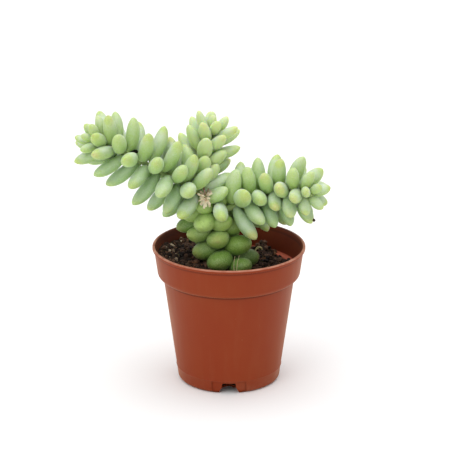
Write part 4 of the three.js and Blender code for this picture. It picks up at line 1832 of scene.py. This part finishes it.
@dataclass
class PottingSoil:
    """The pot's filling: a rough surface, crumbs, bark bits and pale grains on it."""

    sides: int = 132
    rings: int = 40
    clearance: float = 0.12
    blank_height: float = POT_HEIGHT + 10
    seat_below_ledge: float = 2.5
    coarse_height: float = 0.55
    coarse_scale: float = 0.55
    coarse_layers: tuple[float, float, int] = (0.8, 2.1, 4)
    fine_height: float = 0.25
    fine_scale: float = 2.3
    fringe_place: tuple[float, float] = (22.0, 8.0)
    fringe_reach: float = 9.0
    fringe_height: float = 2.2
    spill_height: float = 0.7
    smooth_angle: float = 60.0
    lumps: tuple[Lumps, ...] = (SOIL_CRUMBS, BARK_BITS, PALE_GRAINS, LARGE_PALE_GRAINS)
    smallness: float = 2.2
    full_turn: float = 6.28
    knob_height: float = 0.5
    knob_scale: float = 1.4
    lump_rise: float = 0.35
    stray_share: float = 0.3
    wall_arc: tuple[float, float] = (128, 190)
    wall_belt: tuple[float, float] = (1.0, 8.0)

    def surface_height(self, x: float, y: float) -> float:
        """Gives the height of the soil with its roughness and its fringe under the shelf.

        Args:
            x: Place to the right of the pot's axis, in millimetres.
            y: Place behind the pot's axis.

        Returns:
            The height above the base.
        """
        spot = Vector((x, y, 0.0))
        coarse = self.coarse_height * noise.fractal(spot * self.coarse_scale, *self.coarse_layers)
        rough = coarse + self.fine_height * noise.noise(spot * self.fine_scale)
        away = math.dist((x, y), self.fringe_place) / self.fringe_reach
        return float(soil_height(x, y)) + rough + self.fringe_height * math.exp(-(away**4))

    def wall_radius(self, angle: float) -> float:
        """Gives the radius at which the surface meets the pot's wall.

        Args:
            angle: The direction from the pot's axis, in radians.

        Returns:
            The radius in millimetres: under the shelf, or out to the collar where the soil spills over it.
        """
        radius = BODY_TOP_RADIUS - WALL
        height = self.surface_height(radius * math.cos(angle), radius * math.sin(angle))
        spill = min(max((height - SHELF_HEIGHT) / self.spill_height, 0.0), 1.0)
        wall = float(inside_radius(max(height, SHELF_HEIGHT)))
        return mix(radius + LEDGE_WIDTH, wall, spill * spill * (3 - 2 * spill)) - self.clearance

    def build_body(self) -> Piece:
        """Spins the filling and lays its top on the uneven surface.

        Returns:
            The filling.
        """
        inset = WALL + self.clearance
        low_side = [
            (0.0, inset),
            (BASE_RADIUS - inset, inset),
            (HEEL_RADIUS - inset, HEEL_HEIGHT + inset),
            (BODY_FOOT_RADIUS - inset, FOOT_ROUND_HEIGHT + inset),
            (BODY_TOP_RADIUS - inset, LEDGE_HEIGHT - self.seat_below_ledge),
        ]
        widest = BODY_TOP_RADIUS - inset
        top = [(mix(widest, 0.0, ring / self.rings), self.blank_height) for ring in range(self.rings + 1)]
        outline = [(radius * MM, height * MM) for radius, height in [*low_side, *top]]
        body = Bench.spin("soil_body", outline, self.sides)
        for vertex in body.data.vertices:
            if vertex.co.z > POT_HEIGHT * MM:
                x, y = vertex.co.x / MM, vertex.co.y / MM
                share = math.hypot(x, y) / widest
                radius = share * self.wall_radius(math.atan2(y, x))
                stretch = radius / (share * widest) if share > TOUCHING else 1.0
                x, y = x * stretch, y * stretch
                vertex.co = Vector((x, y, self.surface_height(x, y))) * MM
        drain = DrainNotch()
        drain.cut(body, drain.build_cutter(self.clearance))
        Bench.smooth(body, self.smooth_angle)
        body.data.materials.append(SoilFinish().material())
        return body

    def spot(self, spread: Spread, index: int, draw: Iterator[float]) -> tuple[float, float]:
        """Gives the place of a lump on the soil.

        Args:
            spread: Where its kind lies.
            index: Its number.
            draw: Draws from 0 to 1.

        Returns:
            Its place to the right of and behind the pot's axis, in millimetres.
        """
        if spread is Spread.MARKED:
            return LARGE_GRAIN_SPOTS[index]
        if spread is Spread.LEFT_WALL and next(draw) >= self.stray_share:
            angle = math.radians(mix(*self.wall_arc, next(draw)))
            reach = self.wall_radius(angle) - mix(*self.wall_belt, next(draw))
        else:
            angle = 2 * math.pi * next(draw)
            reach = (self.wall_radius(angle) - self.wall_belt[0]) * math.sqrt(next(draw))
        return reach * math.cos(angle), reach * math.sin(angle)

    def scatter(self, kind: Lumps) -> Piece:
        """Scatters one kind of lump over the surface.

        Args:
            kind: The kind.

        Returns:
            The lumps as one piece.
        """
        Bench.clear()
        bpy.ops.mesh.primitive_ico_sphere_add(subdivisions=1, radius=1)
        mould = bpy.context.object
        ball = places_of(mould)
        draw = draws(kind.seed)
        places, facts = [], []
        for index in range(kind.count):
            x, y = self.spot(kind.spread, index, draw)
            size = mix(*kind.sizes, next(draw) ** self.smallness)
            about_z = Matrix.Rotation(self.full_turn * next(draw), 3, "Z")
            turn = about_z @ Matrix.Rotation(self.full_turn * next(draw), 3, "X")
            spots = [Vector(corner) * self.knob_scale + Vector((index, 0, 0)) for corner in ball]
            knobs = np.array([1 + self.knob_height * noise.noise(spot) for spot in spots])
            lump = (ball * knobs[:, None] * np.array(kind.shape) * size) @ np.array(turn).T
            height = self.surface_height(x, y) + size * self.lump_rise
            places.append((lump + np.array((x, y, height))) * MM)
            facts.append(np.tile([0.5, next(draw), 0.5, 1.0], (len(ball), 1)))
        piece = Bench.cast(kind.name, mould, places, facts)
        Bench.discard(mould)
        piece.data.polygons.foreach_set("use_smooth", [False] * len(piece.data.polygons))
        piece.data.materials.append(kind.finish.material())
        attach(piece, "root")
        return piece

    def build(self) -> list[Piece]:
        """Makes the soil and what lies on it.

        Returns:
            The pieces.
        """
        body = self.build_body()
        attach(body, "root")
        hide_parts("soil")
        return [body, *(self.scatter(kind) for kind in self.lumps)]


@dataclass
class DriedFlower:
    """The dry remnant of a flower: a short stalk and a star of thin pointed bracts facing the front."""

    bracts: int = 34
    bract_length: float = 3.0
    bract_width: float = 0.36
    widest_opening: float = 112.0
    narrowest_opening: float = 12.0
    opening_wander: float = 20.0
    opening_curve: float = 1.4
    depth: float = 1.7
    stalk_radius: float = 0.45
    stalk_stops: tuple[float, ...] = (0.1, 0.5, 1.0)
    seed: int = 29
    flatness: float = 0.16
    edge_rise: float = 0.45
    profile: tuple[float, ...] = (0.5, 0.8, 1.0, 0.75, 0.4, 0.05)
    edge_share: float = 0.5
    tip_thickness: float = 0.4
    nearness: float = 0.02
    level_length: float = 0.6
    length_range: tuple[float, float] = (0.8, 1.1)
    width_range: tuple[float, float] = (0.75, 1.25)
    curl: float = 2.2

    def build_bract(self) -> Piece:
        """Shapes one thin pointed bract, 1 long along Z, hollow and curled.

        Returns:
            The mould.
        """
        Bench.clear()
        bpy.ops.mesh.primitive_cube_add(size=2, location=(0, 0, 1))
        mould = bpy.context.object
        mould.scale = (1.0, self.flatness, 0.5)
        Bench.settle_place(mould)
        bpy.ops.object.mode_set(mode="EDIT")
        bpy.ops.mesh.select_all(action="SELECT")
        steps = len(self.profile) - 1
        bpy.ops.mesh.subdivide(number_cuts=steps - 1)
        Bench.pick(mould, lambda co: abs(co.x) > self.edge_share)
        bpy.ops.transform.translate(value=(0, self.edge_rise, 0))
        for step, width in enumerate(self.profile):
            height = step / steps
            thickness = mix(1, self.tip_thickness, height)
            Bench.pick(mould, lambda co: abs(co.z - height) < self.nearness)
            bpy.ops.transform.resize(value=(width, thickness, 1), center_override=(0, 0, height))
            bpy.ops.transform.translate(value=(0, self.curl * height * height, 0))
        Bench.clear()
        return mould

    def build_star(self) -> Piece:
        """Casts the bracts round the flower's axis, each turned from the last by the golden angle.

        Returns:
            The star of bracts.
        """
        centre, axis = Vector(FLOWER), Vector(FLOWER_FACING).normalized()
        level = (Vector((1, 0, 0)) - axis * axis.x).normalized()
        across = axis.cross(level)
        draw = draws(self.seed)
        mould = self.build_bract()
        shape = places_of(mould)
        places, facts = [], []
        for k in range(self.bracts):
            share = k / (self.bracts - 1)
            clock = math.radians(GOLDEN_ANGLE * k)
            opening = math.radians(
                mix(self.widest_opening, self.narrowest_opening, share**self.opening_curve)
                + self.opening_wander * (next(draw) - 0.5)
            )
            outward = level * math.cos(clock) + across * math.sin(clock)
            direction = (axis * math.cos(opening) + outward * math.sin(opening)).normalized()
            upper = (axis - direction * axis.dot(direction)).normalized()
            side = upper.cross(direction)
            length = self.bract_length * mix(self.level_length, 1.0, abs(direction.z))
            length *= mix(*self.length_range, next(draw))
            width = self.bract_width * mix(*self.width_range, next(draw))
            turn = np.stack([np.array(side) * width, np.array(upper) * width, np.array(direction) * length])
            root = np.array(centre + axis * mix(-self.depth, 0.0, share))
            places.append((root + shape @ turn) * MM)
            own = [next(draw), direction.z, 1.0]
            facts.append(np.column_stack([shape[:, 2], np.tile(own, (len(shape), 1))]))
        star = Bench.cast("dry_bracts", mould, places, facts)
        Bench.discard(mould)
        star.data.materials.append(DryFinish("dry_bract").material())
        return star

    def build(self) -> Piece:
        """Makes the dry flower and lets it stand for its node.

        Returns:
            The flower.
        """
        centre = Vector(FLOWER)
        points = [FORK.lerp(centre, share) for share in self.stalk_stops]
        stalk = Bench.cord("dry_stalk", points, [self.stalk_radius] * len(points), STEM_ROUNDNESS)
        stalk.data.materials.append(DryFinish("dry_stalk_skin", cream=linear(170, 130, 95)).material())
        flower = Bench.join("dried_flower_head", [self.build_star(), stalk])
        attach(flower, "root")
        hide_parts("dried_flower")
        return flower


DEAD_ROOT = linear(220, 214, 164)
HUSK = linear(224, 206, 160)
# Near-black finish for the lump that stands for the shade in a gap between leaves: painted shade
GAP_SHADE = SoilFinish(
    name="painted_gap_shade", dark=linear(10, 14, 8), brown=linear(24, 24, 16), pale=linear(44, 38, 28)
)


@dataclass
class Litter:
    """What is caught on the plant: two fine dead roots, a curled husk and a bit of dirt, with a near-black
    lump of painted shade in a gap between leaves.
    """

    roots: tuple[tuple[Place, ...], ...] = (
        ((2.4, -13.4, 45.5), (1.9, -13.0, 51.2), (2.3, -12.8, 54.7)),
        ((3.0, -13.1, 45.5), (3.2, -12.8, 51.2), (4.0, -12.4, 55.0)),
    )
    root_radius: float = 0.16
    root_taper: tuple[float, ...] = (1.0, 0.8, 0.4)
    husk_leaf: int = 2
    husk_seat: float = 0.88
    husk_curl: tuple[Corner, ...] = (
        (-0.4, -0.8), (-0.1, 0.4), (0.8, 1.2), (1.9, 1.0), (2.3, 0.1)
    )
    husk_radii: tuple[float, ...] = (0.2, 0.36, 0.44, 0.32, 0.12)
    speck_leaf: int = 30
    speck_seat: float = 0.92
    speck_radii: Place = (0.6, 0.6, 0.6)
    speck_shift: Place = (1.5, -0.3, 0.4)
    # A near-black lump in a gap between two leaves of the left shoot: painted shade
    shade_lump_place: Place = (-36.3, -4.7, 94.5)
    shade_lump_radii: Place = (1.5, 1.0, 0.65)
    knob_height: float = 0.6
    knob_scale: float = 1900.0

    def build_roots(self) -> list[Piece]:
        """Draws the dead roots that stand up in front of the stem.

        Returns:
            The roots.
        """
        pieces = []
        for index, root in enumerate(self.roots):
            points = [Vector(corner) for corner in root]
            radii = [self.root_radius * share for share in self.root_taper]
            piece = Bench.cord(f"dead_root_{index + 1}", points, radii, FIBRE_ROUNDNESS)
            piece.data.materials.append(DryFinish(f"dead_root_skin_{index + 1}", brown=DEAD_ROOT).material())
            pieces.append(piece)
        return pieces

    def build_husk(self, leaf: Leaf) -> Piece:
        """Curls a thin papery strip over a leaf's tip.

        Args:
            leaf: The leaf that it hangs on.

        Returns:
            The husk.
        """
        thickness = float(half_width(leaf.width, self.husk_seat)) * LEAF_THICKNESS
        seat = leaf.middle(self.husk_seat) + leaf.upper() * thickness
        points = [seat + Vector((across, 0.0, rise)) for across, rise in self.husk_curl]
        husk = Bench.cord("curled_husk", points, list(self.husk_radii), FIBRE_ROUNDNESS)
        husk.data.materials.append(DryFinish("husk_paper", brown=HUSK).material())
        return husk

    def build_dirt_and_shade_lump(self, name: str, place: Vector, radii: Place, finish: SoilFinish) -> Piece:
        """Sticks a knobbly lump to a leaf: the bit of dirt, and the near-black lump of painted shade.

        Args:
            name: Its name.
            place: Its middle, in millimetres.
            radii: Its radii across, backwards and upwards.
            finish: Its finish.

        Returns:
            The bit of dirt.
        """
        Bench.clear()
        bpy.ops.mesh.primitive_ico_sphere_add(subdivisions=2, radius=MM, location=place * MM)
        dirt = bpy.context.object
        dirt.name = name
        Bench.settle_place(dirt)
        for vertex in dirt.data.vertices:
            away = Vector(part * radius for part, radius in zip(vertex.co - place * MM, radii))
            knob = 1 + self.knob_height * noise.noise((place * MM + away) * self.knob_scale)
            vertex.co = place * MM + away * knob
        dirt.data.materials.append(finish.material())
        return dirt

    def build(self, shoots: dict[str, list[Leaf]]) -> list[Piece]:
        """Makes the litter.

        Args:
            shoots: The leaves of each shoot.

        Returns:
            The pieces.
        """
        husk = self.build_husk(shoots["main_stem"][self.husk_leaf])
        beside_tip = shoots["right_stem"][self.speck_leaf].middle(self.speck_seat) + Vector(self.speck_shift)
        speck = self.build_dirt_and_shade_lump("dirt_speck", beside_tip, self.speck_radii, SoilFinish(name="dirt"))
        # The near-black lump of painted shade in a gap between leaves
        shade_lump = self.build_dirt_and_shade_lump("painted_gap_shade_lump", Vector(self.shade_lump_place), self.shade_lump_radii, GAP_SHADE)
        pieces = [*self.build_roots(), husk, speck, shade_lump]
        for piece in pieces:
            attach(piece, "root")
        return pieces


# Studio


@dataclass(frozen=True)
class Lamp:
    """A soft square lamp: where it hangs and its side in metres, and its power in watts."""

    name: str
    place: Place
    side: float
    power: float


@dataclass
class Studio:
    """The floor, the lights and the camera at the photo's angle. Lengths are in metres."""

    elevation: float = 19.24
    distance: float = 0.9
    focal_pixels: float = 2304.3
    aim: Place = (-0.00153, 0.0, 0.063)
    picture_width: float = 450.0
    sensor: float = 36.0
    floor_side: float = 8.0
    room_strength: float = 0.62
    lamps: tuple[Lamp, ...] = (
        Lamp("overhead_softbox", (0.0, 0.15, 1.9), 3.0, 38.0),
        Lamp("front_lamp", (-0.5, -0.8, 0.9), 0.6, 2.2),
    )

    def build_floor(self) -> None:
        """Lays the floor."""
        Bench.clear()
        bpy.ops.mesh.primitive_plane_add(size=self.floor_side)
        floor = bpy.context.object
        floor.name = "floor"
        floor.data.materials.append(FloorFinish().material())

    def hang(self, lamp: Lamp) -> None:
        """Hangs a lamp that points at the plant.

        Args:
            lamp: The lamp.
        """
        bpy.ops.object.light_add(type="AREA", location=lamp.place)
        light = bpy.context.object
        light.name = lamp.name
        light.data.size = lamp.side
        light.data.energy = lamp.power
        light.rotation_euler = (Vector(self.aim) - Vector(lamp.place)).to_track_quat("-Z", "Y").to_euler()

    def build_light(self) -> None:
        """Lights the plant from a wide softbox overhead and a small lamp in front, in a white room."""
        world = bpy.data.worlds.new("white_room")
        world.use_nodes = True
        background = world.node_tree.nodes["Background"]
        background.inputs["Color"].default_value = (1, 1, 1, 1)
        background.inputs["Strength"].default_value = self.room_strength
        bpy.context.scene.world = world
        for lamp in self.lamps:
            self.hang(lamp)
        bpy.context.scene.view_settings.view_transform = "Standard"

    def build_camera(self) -> None:
        """Sets the camera at the photo's angle."""
        angle = math.radians(self.elevation)
        forward = Vector((0, math.cos(angle), -math.sin(angle)))
        place = Vector(self.aim) - forward * self.distance
        bpy.ops.object.camera_add(location=place)
        camera = bpy.context.object
        camera.name = "photo_camera"
        camera.rotation_euler = forward.to_track_quat("-Z", "Y").to_euler()
        camera.data.sensor_width = self.sensor
        camera.data.lens = self.focal_pixels * self.sensor / self.picture_width
        bpy.context.scene.camera = camera

    def build(self) -> None:
        """Sets up the studio."""
        self.build_floor()
        self.build_light()
        self.build_camera()


def main() -> None:
    """Builds every part of the scene in order."""
    logging.basicConfig(level=logging.INFO)
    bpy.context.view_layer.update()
    shoots = GrowthRule().grow()
    for leaf in ADDED_LEAVES:
        shoots[leaf.plan.node].append(leaf)
    mould = LeafMould().build()
    dresses = (
        (MAIN_STEM, OLD_LEAF, "old_leaves"),
        (LEFT_STEM, YOUNG_LEAF, "young_leaves"),
        (CENTRE_STEM, LIT_CENTRE_LEAF, "young_leaves"),
        (RIGHT_STEM, YOUNG_LEAF, "young_leaves"),
    )
    for plan, finish, slot in dresses:
        shoot = LeafyShoot(plan, shoots[plan.node], finish, slot).build(mould)
        log.info("%s: %d leaves", shoot.name, len(shoots[plan.node]))
    Bench.discard(mould)
    pieces = [NurseryPot().build(), *PottingSoil().build(), DriedFlower().build(), *Litter().build(shoots)]
    for piece in pieces:
        log.info("%s: %d faces", piece.name, len(piece.data.polygons))
    Studio().build()


if __name__ == "__main__":
    main()
